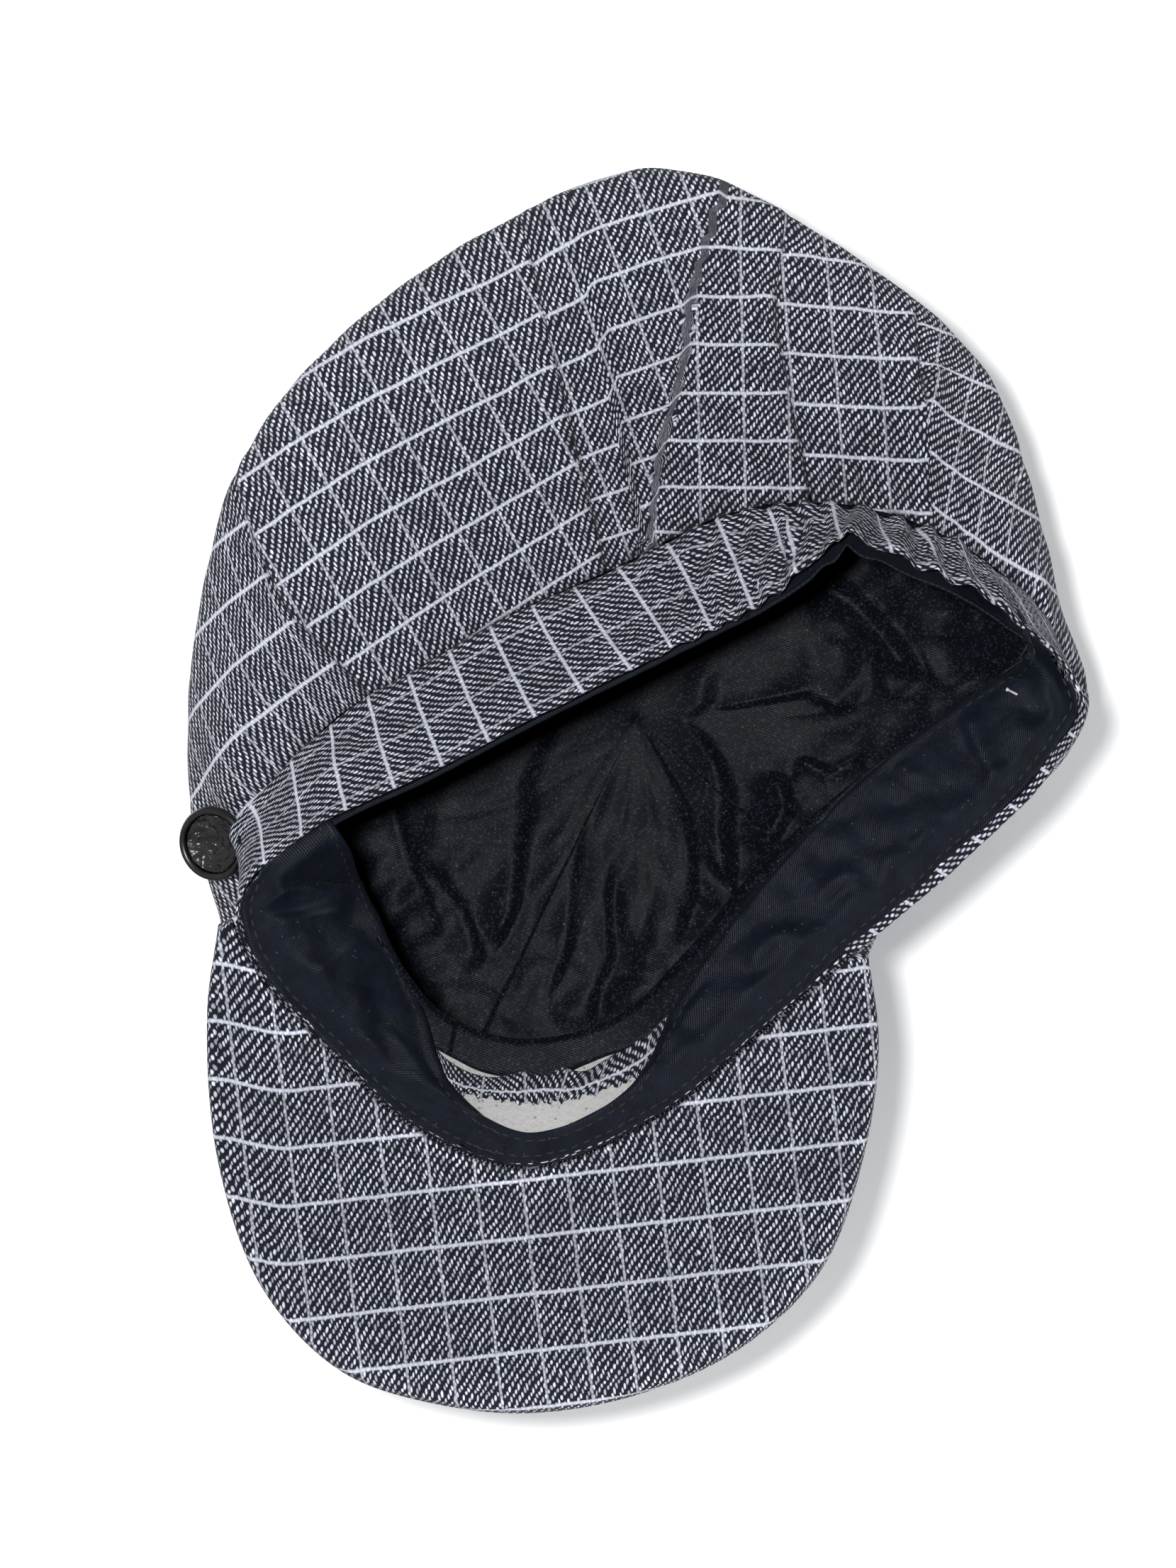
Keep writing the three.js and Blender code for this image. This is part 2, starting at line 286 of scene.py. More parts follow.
def fold(points, route, fade, height):
    """A lap of cloth along a route: steep on its right and fading out on its left."""
    signed, share = beside(points, route)
    ends = smooth(share, 0, 0.2) * smooth(1 - share, 0, 0.2)
    gentle = np.exp(-np.clip(signed, 0, None) / fade)
    steep = bell(np.clip(-signed, 0, None), FOLD_STEEP_WIDTH)
    return np.where(signed > 0, gentle, steep) * ends * height


def arc(points, axis):
    """Length along one axis of a grid, from 0 at its start."""
    steps = np.linalg.norm(np.diff(points, axis=axis), axis=-1)
    zero = np.zeros_like(np.take(steps, [0], axis=axis))
    return np.concatenate([zero, np.cumsum(steps, axis=axis)], axis=axis)


def area_of(flat):
    """The area of a grid of points in a plane."""
    a, b = flat[1:, 1:] - flat[:-1, :-1], flat[1:, :-1] - flat[:-1, 1:]
    return float(np.abs(a[..., 0] * b[..., 1] - a[..., 1] * b[..., 0]).sum() / 2)


def mesh_piece(name, points, faces, uv=None):
    """A smooth-shaded object with these points, faces and weave coordinates."""
    mesh = bpy.data.meshes.new(name)
    mesh.from_pydata(put_in_frame(points).tolist(), [], [list(map(int, f)) for f in faces])
    mesh.validate()
    if uv is not None:
        corner = np.zeros(len(mesh.loops), int)
        mesh.loops.foreach_get("vertex_index", corner)
        mesh.uv_layers.new(name="Weave").data.foreach_set("uv", uv[corner].ravel())
    mesh.polygons.foreach_set("use_smooth", [True] * len(mesh.polygons))
    piece = bpy.data.objects.new(name, mesh)
    bpy.context.scene.collection.objects.link(piece)
    return piece


def grid_faces(rows, columns, loop=False):
    """The faces of a grid of points; a loop's last column also joins its first."""
    index = np.arange(rows * columns).reshape(rows, columns)
    if loop:
        index = np.concatenate([index, index[:, :1]], axis=1)
    corners = [index[:-1, :-1], index[:-1, 1:], index[1:, 1:], index[1:, :-1]]
    return np.stack(corners, axis=-1).reshape(-1, 4)


def dress(piece, material, slot, *nodes):
    """Gives a piece its material and body, and hides the CAD nodes it stands for. The slot is not
    used.
    """
    piece.data.materials.append(material)
    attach(piece, BODY)
    if nodes:
        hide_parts(*nodes)
    return piece


def thicken(piece, thickness):
    """Thickens a sheet away from the side that its faces look to."""
    modifier = piece.modifiers.new("Thickness", "SOLIDIFY")
    modifier.thickness = thickness * MM
    modifier.offset = -1
    modifier.use_even_offset = False


def cloth(name, points, uv, thickness, material, slot, nodes, flat=None):
    """A sheet of cloth as a grid of points, thickened away from its outer face."""
    flat = uv if flat is None else flat
    rows, columns = points.shape[:2]
    piece = mesh_piece(name, points.reshape(-1, 3), grid_faces(rows, columns), uv.reshape(-1, 2))
    thicken(piece, thickness)
    dress(piece, material, slot, *nodes)
    extent = (flat.reshape(-1, 2).max(0) - flat.reshape(-1, 2).min(0)) * MM
    share = area_of(flat) * MM ** 2 / (extent[0] * extent[1])
    area = float(np.clip(share, 0.3, 1.0)) * float(extent[0] * extent[1])
    return piece


# ---------------------------------------------------------------- materials
def add_node(tree, kind, inputs, output=0, **settings):
    """The output of a new node; its inputs are values or signals, by name or by number."""
    node = tree.nodes.new(kind)
    for key, value in settings.items():
        setattr(node, key, value)
    for key, value in inputs.items():
        if isinstance(value, Signal):
            tree.links.new(value.socket, node.inputs[key])
        else:
            node.inputs[key].default_value = value
    return Signal(tree, node.outputs[output])


class Signal:
    """A value in a material's node tree, so that a material reads as a formula."""

    def __init__(self, tree, socket):
        self.tree = tree
        self.socket = socket

    def do(self, operation, *values):
        return add_node(self.tree, "ShaderNodeMath", dict(enumerate(values)), operation=operation)

    def __add__(self, other):
        return self.do("ADD", self, other)

    def __sub__(self, other):
        return self.do("SUBTRACT", self, other)

    def __rsub__(self, other):
        return self.do("SUBTRACT", other, self)

    def __mul__(self, other):
        return self.do("MULTIPLY", self, other)

    def __truediv__(self, other):
        return self.do("DIVIDE", self, other)

    __radd__ = __add__
    __rmul__ = __mul__

    def floor(self):
        return self.do("FLOOR", self)

    def larger(self, other):
        return self.do("MAXIMUM", self, other)

    def off_line(self, spacing):
        """How far the value is from halfway between lines of that spacing: 0 to 0.5 of it."""
        return self.do("ABSOLUTE", (self / spacing).fraction() - 0.5)

    def fraction(self):
        return self.do("FRACT", self)

    def below(self, limit, soft):
        """1 where the value is under the limit, 0 over it, with a soft step between."""
        inputs = {"Value": self, "From Min": limit - soft, "From Max": limit + soft,
                  "To Min": 1, "To Max": 0}
        return add_node(self.tree, "ShaderNodeMapRange", inputs, "Result",
                        interpolation_type="SMOOTHSTEP")

    def above(self, limit, soft):
        return 1 - self.below(limit, soft)


class Recipe:
    """One procedural material on the Principled shader."""

    def __init__(self, name, **settings):
        self.material = bpy.data.materials.new(name)
        self.material.use_nodes = True
        self.tree = self.material.node_tree
        self.shader = self.tree.nodes["Principled BSDF"]
        for key, value in settings.items():
            self.shader.inputs[key.replace("_", " ")].default_value = value

    def add(self, kind, inputs, output=0, **settings):
        return add_node(self.tree, kind, inputs, output, **settings)

    def weave_coordinates(self):
        weave = self.add("ShaderNodeUVMap", {}, "UV", uv_map="Weave")
        u = self.add("ShaderNodeSeparateXYZ", {0: weave}, "X")
        v = self.add("ShaderNodeSeparateXYZ", {0: weave}, "Y")
        return u, v

    def place(self):
        return self.add("ShaderNodeTexCoord", {}, "Object")

    def vector(self, x, y, z=0.0):
        return self.add("ShaderNodeCombineXYZ", {"X": x, "Y": y, "Z": z})

    def noise(self, at, scale, detail=2.0, roughness=0.5):
        inputs = {"Vector": at, "Scale": scale, "Detail": detail, "Roughness": roughness}
        return self.add("ShaderNodeTexNoise", inputs, "Fac")

    def random(self, at):
        return self.add("ShaderNodeTexWhiteNoise", {"Vector": at}, "Value")

    def cells(self, at, scale):
        return self.add("ShaderNodeTexVoronoi", {"Vector": at, "Scale": scale}, "Distance")

    def blend(self, share, low, high):
        """A colour between two; the numbers are a mix node's sockets for colours."""
        return self.add("ShaderNodeMix", {0: share, 6: low, 7: high}, 2, data_type="RGBA")

    def into(self, key, signal):
        self.tree.links.new(signal.socket, self.shader.inputs[key])

    def colour(self, signal):
        self.into("Base Color", signal)

    def roughness(self, signal):
        self.into("Roughness", signal)

    def bump(self, height, depth, strength=1.0):
        inputs = {"Distance": depth * MM, "Strength": strength, "Height": height}
        self.into("Normal", self.add("ShaderNodeBump", inputs, "Normal"))


def tone(value, tint=(1.0, 1.0, 1.0)):
    """A linear colour from an sRGB value of 0..255."""
    level = value / 255
    linear = level / 12.92 if level < 0.04045 else ((level + 0.055) / 1.055) ** 2.4
    return (*(linear * t for t in tint), 1)


# Tints that tones are multiplied by.
COOL = (0.84, 0.95, 1.5)
PALE = (0.94, 0.96, 1.08)
NAVY = (0.74, 0.94, 1.5)
DEEP = (0.62, 0.98, 2.0)
CREAM = (1.0, 0.985, 0.97)
METAL = (1.0, 0.97, 0.97)

# Millimetres of the plaid: its check, its threads, the flecks in its twill and their drift.
PLAID_LINE_EVERY = 14.4
BRIM_LINE_EVERY = 15.4
BAND_LINE_EVERY = 13.4
PLAID_WEAK_EVERY = 12.2
THREAD_U = 0.8
THREAD_V = 0.98
TWILL = 3  # threads that a fleck runs over
DRIFT = 2.2
FLECK_WIDTH = 0.36
FLECK_LENGTH = 0.58
LINE_HALF_WIDTH = 0.22
LINE_STRENGTH = 0.9
WEAK_STRENGTH = 0.8


def plaid(name, line_every=PLAID_LINE_EVERY):
    """Dark wool twill with pale flecks, thick pale lines one way and thin broken ones the other."""
    recipe = Recipe(name, Roughness=0.94, Specular_IOR_Level=0.12, Sheen_Weight=0.06,
                    Sheen_Roughness=0.5)
    u, v = recipe.weave_coordinates()
    flat = recipe.vector(u, v)
    drift = recipe.noise(flat, 0.13, 2) - 0.5
    drift_2 = recipe.noise(recipe.vector(u, v, 7.0), 0.13, 2) - 0.5
    us = u + drift * DRIFT
    vs = v + drift_2 * DRIFT
    column = (us / THREAD_U).floor()
    across = ((us / THREAD_U).fraction() - 0.5) * THREAD_U
    climb = (vs / THREAD_V - column) / TWILL + 0.5
    cell = climb.floor()
    along = (climb.fraction() - 0.5) * (TWILL * THREAD_V)
    chance = recipe.random(recipe.vector(column, cell))
    chance_2 = recipe.random(recipe.vector(cell, column, 3.0))
    across = (across + (chance_2 - 0.5) * 0.22) / FLECK_WIDTH
    along = (along + (chance - 0.5) * 0.3) / (FLECK_LENGTH + chance_2 * 0.3)
    haze = recipe.noise(flat, 0.07, 3, 0.6)
    fine = recipe.noise(flat, 2.4, 2, 0.6)
    fleck = (across * across + along * along + fine * 0.7).below(1.1, 0.62)
    strength = (0.44 + chance * 0.62) * (0.66 + haze * 0.72)
    flecks = fleck * strength
    wobble = (recipe.noise(recipe.vector(u * 0.25, 0.0, v / 40), 1.0, 2) - 0.5) * 0.6
    stripe = (v + wobble).off_line(line_every) * line_every
    beads = 0.7 + (us / THREAD_U).off_line(2) * 0.5
    line = (stripe - fine * 0.5).below(LINE_HALF_WIDTH, 0.26) * beads
    thin = u.off_line(PLAID_WEAK_EVERY) * PLAID_WEAK_EVERY
    broken = 0.45 + (vs / THREAD_V).off_line(1.4) * 1.2
    weak = (thin - fine * 0.2).below(LINE_HALF_WIDTH, 0.16) * broken * (0.25 + haze)
    pale = flecks.larger(line * LINE_STRENGTH).larger(weak * WEAK_STRENGTH)
    base = recipe.blend(haze, tone(19, COOL), tone(36, COOL))
    grime = recipe.blend(fine, tone(14, COOL), tone(52, COOL))
    ground = recipe.blend(recipe.noise(flat, 1.2, 2), base, grime)
    recipe.colour(recipe.blend(pale, ground, tone(236, PALE)))
    recipe.bump(pale * 0.7 + fine * 0.3 + recipe.noise(flat, 6.0, 2) * 0.2, 0.3, 0.8)
    return recipe.material


def satin(name):
    """Black lining twill with a soft gloss, fine diagonal ribs and dust; the ribs also carry
    painted sheen, lighter lines in the colour.
    """
    recipe = Recipe(name, Specular_IOR_Level=0.11, Sheen_Weight=0.05, Sheen_Roughness=0.4)
    u, v = recipe.weave_coordinates()
    flat = recipe.vector(u, v)
    rib = (u * 0.62 + v * 0.78).off_line(0.6) * 2
    patch = recipe.noise(flat, 0.05, 3)
    speck = recipe.random(recipe.vector((u / 0.45).floor(), (v / 0.45).floor())).above(0.84, 0.1)
    dust = (recipe.cells(flat, 0.42).below(0.12, 0.06)
            * recipe.noise(recipe.vector(u, v, 2.0), 0.09, 2).above(0.5, 0.08))
    ground = recipe.blend(patch, tone(6, NAVY), tone(13, NAVY))
    # painted sheen: the ribs are painted lighter than the black ground, standing in for light
    # caught on the twill
    ribbed = recipe.blend(rib * 0.6, ground, tone(30, NAVY))
    specked = recipe.blend(speck * 0.5, ribbed, tone(62, NAVY))
    recipe.colour(recipe.blend(dust * 0.25, specked, tone(130)))
    recipe.roughness(0.36 + patch * 0.24)
    recipe.bump(rib * 0.5 + recipe.noise(flat, 0.5, 3) * 1.2, 0.16, 0.6)
    return recipe.material


def tape_cloth(name):
    """Navy-black cotton tape with a fine diagonal twill."""
    recipe = Recipe(name, Roughness=0.52, Specular_IOR_Level=0.27, Sheen_Weight=0.02)
    u, v = recipe.weave_coordinates()
    flat = recipe.vector(u, v)
    ribs = (u + v).off_line(0.75) * 2
    cross = (u - v * 0.4).off_line(0.5) * 2
    lint = recipe.cells(flat, 0.3).below(0.07, 0.04)
    worn = recipe.noise(flat, 0.16, 4, 0.65).above(0.5, 0.3)
    ribbed = recipe.blend(ribs, tone(5, DEEP), tone(23, DEEP))
    ground = recipe.blend(worn, ribbed, tone(30, DEEP))
    recipe.colour(recipe.blend(lint * 0.25, ground, tone(140)))
    recipe.bump(ribs * 0.5 + cross * 0.25 + recipe.noise(flat, 0.3, 3) * 1.5, 0.25, 0.8)
    return recipe.material


def felt_cloth(name):
    """Off-white pressed fibres with a few dark specks."""
    recipe = Recipe(name, Roughness=0.97, Sheen_Weight=0.3)
    at = recipe.place()
    fibres = recipe.noise(at, 900, 4, 0.7)
    spots = recipe.cells(at, 420).below(0.17, 0.08)
    ground = recipe.blend(fibres, tone(176), tone(226, CREAM))
    recipe.colour(recipe.blend(spots * 0.6, ground, tone(96)))
    recipe.bump(fibres + recipe.noise(at, 250, 2), 0.5)
    return recipe.material


def elastic_cloth(name):
    """Dark ribbed elastic."""
    recipe = Recipe(name, Roughness=0.85)
    u, v = recipe.weave_coordinates()
    ribs = v.off_line(1.1) * 2
    recipe.colour(recipe.blend(ribs, tone(22), tone(66)))
    recipe.bump(ribs + recipe.noise(recipe.vector(u, v), 1.5), 0.4)
    return recipe.material


def gunmetal(name, hammered):
    """Dark glossy metal, nearly smooth or covered with small dents."""
    recipe = Recipe(name, Metallic=1.0)
    at = recipe.place()
    cloud = recipe.noise(at, 220, 3)
    dents = recipe.cells(at, 700 if hammered else 260)
    recipe.colour(recipe.blend(cloud, tone(40, METAL), tone(78, METAL)))
    recipe.roughness(0.2 + cloud * 0.2)
    recipe.bump(dents + recipe.noise(at, 1500, 2) * 0.3, 0.35 if hammered else 0.02, 0.8)
    return recipe.material


def moulded(name, value, rough):
    """Plain moulded plastic of one grey."""
    recipe = Recipe(name)
    at = recipe.place()
    grain = recipe.noise(at, 1400, 3)
    recipe.colour(recipe.blend(recipe.noise(at, 60), tone(value), tone(value * 1.15)))
    recipe.roughness(rough + grain * 0.15)
    recipe.bump(grain, 0.05, 0.5)
    return recipe.material


def thread_cloth(name, value):
    """Sewing thread of one grey."""
    recipe = Recipe(name, Roughness=0.75)
    at = recipe.place()
    twist = recipe.noise(at, 2500, 2)
    recipe.colour(recipe.blend(twist, tone(value * 0.7), tone(value * 1.2)))
    recipe.bump(twist, 0.08)
    return recipe.material


wool = plaid("plaid_wool")
wool_brim = plaid("plaid_wool_brim", BRIM_LINE_EVERY)
wool_band = plaid("plaid_wool_band", BAND_LINE_EVERY)
lining_satin = satin("lining_satin")
tape = tape_cloth("sweatband_tape")
felt = felt_cloth("white_felt")
elastic = elastic_cloth("ribbed_elastic")
ring_metal = gunmetal("polished_gunmetal", False)
dish_metal = gunmetal("hammered_gunmetal", True)
board = moulded("brim_board_plastic", 40, 0.5)
nylon = moulded("tag_nylon", 214, 0.3)
dark_thread = thread_cloth("dark_thread", 30)

# ---------------------------------------------------------------- crown
# Both folds of the pleat at the back, and a soft crease beside it, as seen from below.
PLEAT_LEFT = [(14.4, 144.6), (9.7, 122.9), (5.9, 106), (4, 92.5), (1.7, 85.3), (0.4, 76.7)]
PLEAT_RIGHT = [(-15.8, 138.3), (-14, 132), (-13, 118.5), (-9.9, 105.8), (-6.3, 93.3), (-5, 82.4)]
SOFT_CREASE = [(38.4, 122.9), (30, 87), (22.2, 59.2)]
LINE_ANGLES = {  # degrees by which a panel's thick lines rise to the right, seen from below
    1: 30, 2: 8, 3: 2, 4: -30, 8: 48,
}
CROWN_FOLDS = [  # route seen from below, how far it fades on its left, height of the fold
    ([(-80, 84), (-77, 100), (-81, 117)], 7, 5.0), ([(-54, 84), (-63, 92), (-72, 101)], 5, 4.4),
    ([(-20, 78), (-26, 90), (-24, 100)], 4, 2.8), ([(-34, 80), (-38, 90), (-36, 99)], 4, 2.8),
    ([(-8, 72), (-10, 82), (-7, 90)], 4, 2.2), ([(10, 64), (8, 74), (10, 84)], 4, 2.2),
    ([(-64, 80), (-76, 84), (-90, 84)], 5, 3.0),
]
CROWN_THICKNESS = 1.1
UNDER_UNROLLED = 0.7  # how much of the crown's lower side is unrolled for its weave
SEAM_SWAY = {1.5: 0.38, 5.6: 0.28}  # stations by which a seam leans round the crown
CROWN_SWELLS = [(58, 11, 1.5), (21, 12, 0.55), (11, 13, 0.16)]  # length, seed, height
WIDEST_RELIEF = 1.4
WIDEST_BULGES = [(4.9, 1.4), (7.4, 3.0)]  # station, height
PLEAT_DEPTH = 3.4
PLEAT_LIP = 1.3
LIP_INSET = 2.2
LIP_WIDTH = 2.6
CREASE_DEPTH = 1.3
CREASE_WIDTH = 5
RUFFLE_STATIONS = 0.27  # stations from one ruffle of the gathers to the next
RUFFLE_HEIGHT = 2.1
CRUMPLE_HEIGHT = 1.6
GATHER_REACH = 17
FOOT_SINK = 1.2  # how far the crown's foot goes under the band's top

# Places that the thick lines of the plaid pass through, counted from the back of the crown.
LINES_LEFT = {
    0: [(76.5, 121), (60.7, 130.4), (40.7, 139.6), (24, 145.4)],
    1: [(99.8, 89.2), (79.8, 102), (59.8, 113.3), (40.7, 122.5), (20.7, 129.2)],
    2: [(99, 72.5), (79.8, 85), (59.8, 95.8), (40.7, 107), (20.7, 113.8)],
    3: [(98, 56.7), (79.8, 67.9), (59.8, 79.2), (40.7, 91.3), (19, 99.2)],
    4: [(89.8, 45.4), (69.8, 56.7), (49.8, 68.8), (29, 83.8), (17, 87.8)],
    5: [(82.3, 34.2), (59.8, 46.3), (39.8, 59.2), (29.8, 69.2), (14.8, 75.8)],
    6: [(35.7, 48), (20.7, 59.2)],
}
LINES_BESIDE_PLEAT = {
    0: [(24, 145.4), (15.7, 149.6)], 1: [(20, 129.5), (12.3, 136.2)],
    2: [(20.7, 113.8), (10.7, 119.2)], 3: [(19, 101.7), (5.7, 105.8)], 4: [(15, 89), (4, 93.3)],
    5: [(13.2, 80.8), (4, 81)], 6: [(9.8, 68), (4, 69.6)],
}
LINES_IN_PLEAT = {
    0: [(12, 151.5), (0.2, 156.5), (-16, 160.6)], 1: [(6.5, 140.2), (-9.8, 146)],
    2: [(8.8, 123.8), (-0.7, 128.8), (-14.4, 132.9)],
    3: [(5.6, 111), (-0.7, 115.2), (-12.5, 118.4)],
    4: [(2.9, 101), (-8.9, 104.7)], 5: [(2, 89.3), (-6.2, 92)], 6: [(-0.3, 76.5), (-9.8, 82)],
}
LINES_MIDDLE = {
    0: [(-16, 160.6)], 1: [(-12, 147), (-29, 148.4), (-44.4, 145.6)],
    2: [(-15.3, 133.4), (-29.8, 134.7), (-43.9, 133.6)],
    3: [(-12.5, 119.7), (-29.8, 120.9), (-44.4, 120.6)], 4: [(-11.6, 107.5), (-42.5, 107.6)],
    5: [(-8, 93.8), (-39.8, 94.9)], 6: [(-10.7, 83.4), (-30.7, 82.5)],
}
LINES_NARROW = {
    1: [(-44.4, 145.2), (-58.9, 142)], 2: [(-44.8, 132), (-58.9, 130.4), (-69.8, 130.2)],
    3: [(-45.3, 117.7), (-55.3, 117.5), (-74.4, 117)],
    4: [(-43, 104.3), (-55.3, 102.9), (-73.5, 103.6)], 5: [(-41.2, 91.1), (-59.8, 90.2)],
}
LINES_RIGHT = {
    3: [(-79.8, 115.2), (-90.7, 108.4), (-97, 105.6)], 4: [(-80.7, 98.4), (-100.7, 91.1)],
    5: [(-70.7, 90.2), (-77, 86.5), (-88, 84.7), (-104.4, 78.4)],
    6: [(-65.3, 81), (-82.5, 74.7), (-90.7, 70.2), (-103.5, 59.3), (-109.8, 53.8)],
}
LINES_LEFT_END = {
    3: [(118, 44.2), (109.8, 52.5), (100.7, 59.2)],
    4: [(119, 20), (114.8, 26.7), (100.7, 40.8), (92.3, 46.7)],
    5: [(107, 16.7), (99.8, 21.3), (84, 35.8)],
}
PANEL_LINES = {1: LINES_LEFT, 3: LINES_NARROW, 4: LINES_RIGHT, 8: LINES_LEFT_END}
PLEATED_PANEL = 2


def spans(seams):
    """The stations where each panel starts and stops."""
    stops = seams[1:] + [seams[0] + STATIONS]
    return list(zip(seams, stops))


def even_rises(station, count):
    """Rises that cut the crown's profile into pieces of equal length."""
    fine = np.linspace(0, 1, 400)
    length = arc(crown(np.full(len(fine), station), fine), 0)
    return np.interp(np.linspace(0, length[-1], count), length, fine)


def widest_row(rises):
    return int(np.searchsorted(rises, EQUATOR_RISE))


def rolled_out(points, rises, outwards):
    """A panel's points unrolled about its widest line, fully above it and partly below it."""
    sideways = np.array([-outwards[1], outwards[0]])
    flat = np.stack([points[..., :2] @ outwards, points[..., :2] @ sideways], axis=-1)
    row = widest_row(rises)
    middle = points.shape[1] // 2
    widths = arc(points, 1)[:, -1]
    lengths = arc(points, 0)
    centre = flat[row, middle, 1]
    unrolled = flat[row, :, 0] + lengths - lengths[row]
    flat[:row, :, 0] = lerp(flat[:row, :, 0], unrolled[:row], UNDER_UNROLLED)
    flat[row:, :, 0] = unrolled[row:]
    ratio = (widths[row:] / widths[row])[:, None]
    flat[row:, :, 1] = centre + (flat[row, :, 1] - centre) * ratio
    return flat[..., :1] * outwards + flat[..., 1:] * sideways


def spread_from_pole(points, row, outwards):
    """A panel's points laid flat about its tip: the top of the crown keeps its true lengths."""
    sideways = np.array([-outwards[1], outwards[0]])
    lengths = arc(points, 0)
    radius = lengths[-1:] - lengths + POLE_RADIUS
    towards = unit(points[row, :, :2] - CROWN_CENTRE)
    out = -radius * (towards @ outwards)
    side = radius * (towards @ sideways)
    return out[..., None] * outwards + side[..., None] * sideways


def weave_at(flat, degrees):
    """Weave coordinates whose thick lines rise by that angle to the viewer's right from below."""
    turn = math.radians(degrees)
    u = -flat[..., 0] * math.cos(turn) + flat[..., 1] * math.sin(turn)
    v = flat[..., 0] * math.sin(turn) + flat[..., 1] * math.cos(turn)
    return np.stack([u, v], axis=-1)


BEND_SPAN = 40  # millimetres that count as 1 in the terms of a bend
BEND_RIDGE = [0, 1e-3, 1e-3, 0.03, 0.03, 0.03]  # holds each term back from a wild fit


def bend_to_lines(panel, lines, degrees):
    """Weave coordinates, bent so that the thick lines pass through the listed places as seen from
    below. Past the widest line the bend stays as it is there."""
    points, flat, row = panel
    places = np.array([place for line in lines.values() for place in line], float)
    number = np.array([key for key, line in lines.items() for _ in line], float)
    seen = points[:row + 1, :, :2].reshape(-1, 2)
    nearest = [int(np.argmin(((seen - place) ** 2).sum(1))) for place in places]
    places = flat[:row + 1].reshape(-1, 2)[nearest]
    centre = places.mean(0)

    def terms(at):
        x, y = np.moveaxis((at - centre) / BEND_SPAN, -1, 0)
        return np.stack([np.ones_like(x), x, y, x * y, x * x, y * y], axis=-1)

    wanted = (0.5 - number) * PLAID_LINE_EVERY - weave_at(places, degrees)[:, 1]
    known = terms(places)
    ridge = np.diag(BEND_RIDGE) * len(places)
    weights = np.linalg.solve(known.T @ known + ridge, known.T @ wanted)
    held = flat.copy()
    held[row:] = flat[row]
    uv = weave_at(flat, degrees)
    uv[..., 1] += terms(held) @ weights
    return uv


def pleat_zones(points):
    """Signed distances inside the pleat's two folds, and the share along it from the top."""
    left, share = beside(points, PLEAT_LEFT)
    right, _ = beside(points, PLEAT_RIGHT)
    return -left, right, share


def pleat_depth(points):
    """How deep the inset pleat of the back lies at each point, from 0 to 1."""
    left, right, share = pleat_zones(points)
    return smooth(np.minimum(left, right), -0.4, 2.0) * smooth(share, 0.0, 0.4)


def pleat_weave(panel):
    """The panel with the pleat: three runs of plaid that don't meet at its folds."""
    left, right, _ = pleat_zones(panel[0])
    beside_it = bend_to_lines(panel, LINES_BESIDE_PLEAT, 20)
    within = bend_to_lines(panel, LINES_IN_PLEAT, 20)
    middle = bend_to_lines(panel, LINES_MIDDLE, 1)
    uv = lerp(beside_it, within, smooth(left, -0.9, 0.9)[..., None])
    return lerp(middle, uv, smooth(right, -0.9, 0.9)[..., None])


def pleat_lips(points):
    """1 on the two lips that the cloth forms beside the pleat's folds."""
    return (crease(points, [(x + LIP_INSET, y) for x, y in PLEAT_LEFT], LIP_WIDTH)
            + crease(points, [(x - LIP_INSET, y) for x, y in PLEAT_RIGHT], LIP_WIDTH))


def swayed(seam, rise):
    """A seam's station, where it isn't straight between the band and the button."""
    sway = SEAM_SWAY.get(round(seam % STATIONS, 3), 0)
    return seam + sway * window(rise, 0.2, 0.42, 0.5, 0.9)


def crown_relief(station, rise, points, edge):
    """Height of the cloth over the plain crown, in millimetres along the outward normal."""
    low = smooth(rise, 0.0, 0.06)
    under = 1 - smooth(rise, 0.36, 0.5)
    pole = 1 - smooth(rise, 0.93, 1.0)
    widest = bell(rise - EQUATOR_RISE, 0.1)
    calm = 1 - 0.6 * widest
    relief = swells(points, CROWN_SWELLS) * low * pole * calm + WIDEST_RELIEF * widest
    seam_ditch = (0.7 + 0.3 * under) * (1 - 0.7 * widest) * bell(edge, 1.3)
    seam_ridge = 0.35 * (1 - widest) * bell(edge - 3.2, 2.2)
    relief += (seam_ridge - seam_ditch) * pole
    for place, height in WIDEST_BULGES:
        relief += height * widest * bell(station - place, 0.6)
    pucker = waves(points[..., :2] + points[..., 2:] * 0.3, 9.5, 14)
    relief += 0.42 * pucker * bell(edge, 7) * low * pole * calm
    relief += under * (PLEAT_LIP * pleat_lips(points) - PLEAT_DEPTH * pleat_depth(points))
    relief -= under * CREASE_DEPTH * crease(points, SOFT_CREASE, CREASE_WIDTH)
    for route, fade, height in CROWN_FOLDS:
        relief += under * fold(points, route, fade, height)
    gathered = window(station, 3.7, 4.5, 6.6, 7.6)
    away = np.linalg.norm(points - band_top(station), axis=-1)
    ruffles = np.sin(station * 2 * math.pi / RUFFLE_STATIONS + 1.6 * waves(points, 30, 15))
    crumple = 1 - np.abs(waves(points, 15, 16))
    gathers = ruffles * RUFFLE_HEIGHT + crumple * CRUMPLE_HEIGHT
    relief += gathered * gathers * np.exp(-away / GATHER_REACH) * smooth(away, 0, 3)
    return relief - FOOT_SINK * (1 - smooth(away, 0, 3.5))


def edge_distance(points):
    """How far each point lies from the nearer side of its panel."""
    across = arc(points, 1)
    return np.minimum(across, across[:, -1:] - across)


def out_of(start, stop):
    """The direction in which the middle of a panel looks, seen from above."""
    middle = equator(np.array([(start + stop) / 2]))[0]
    return unit(middle[:2] - CROWN_CENTRE)


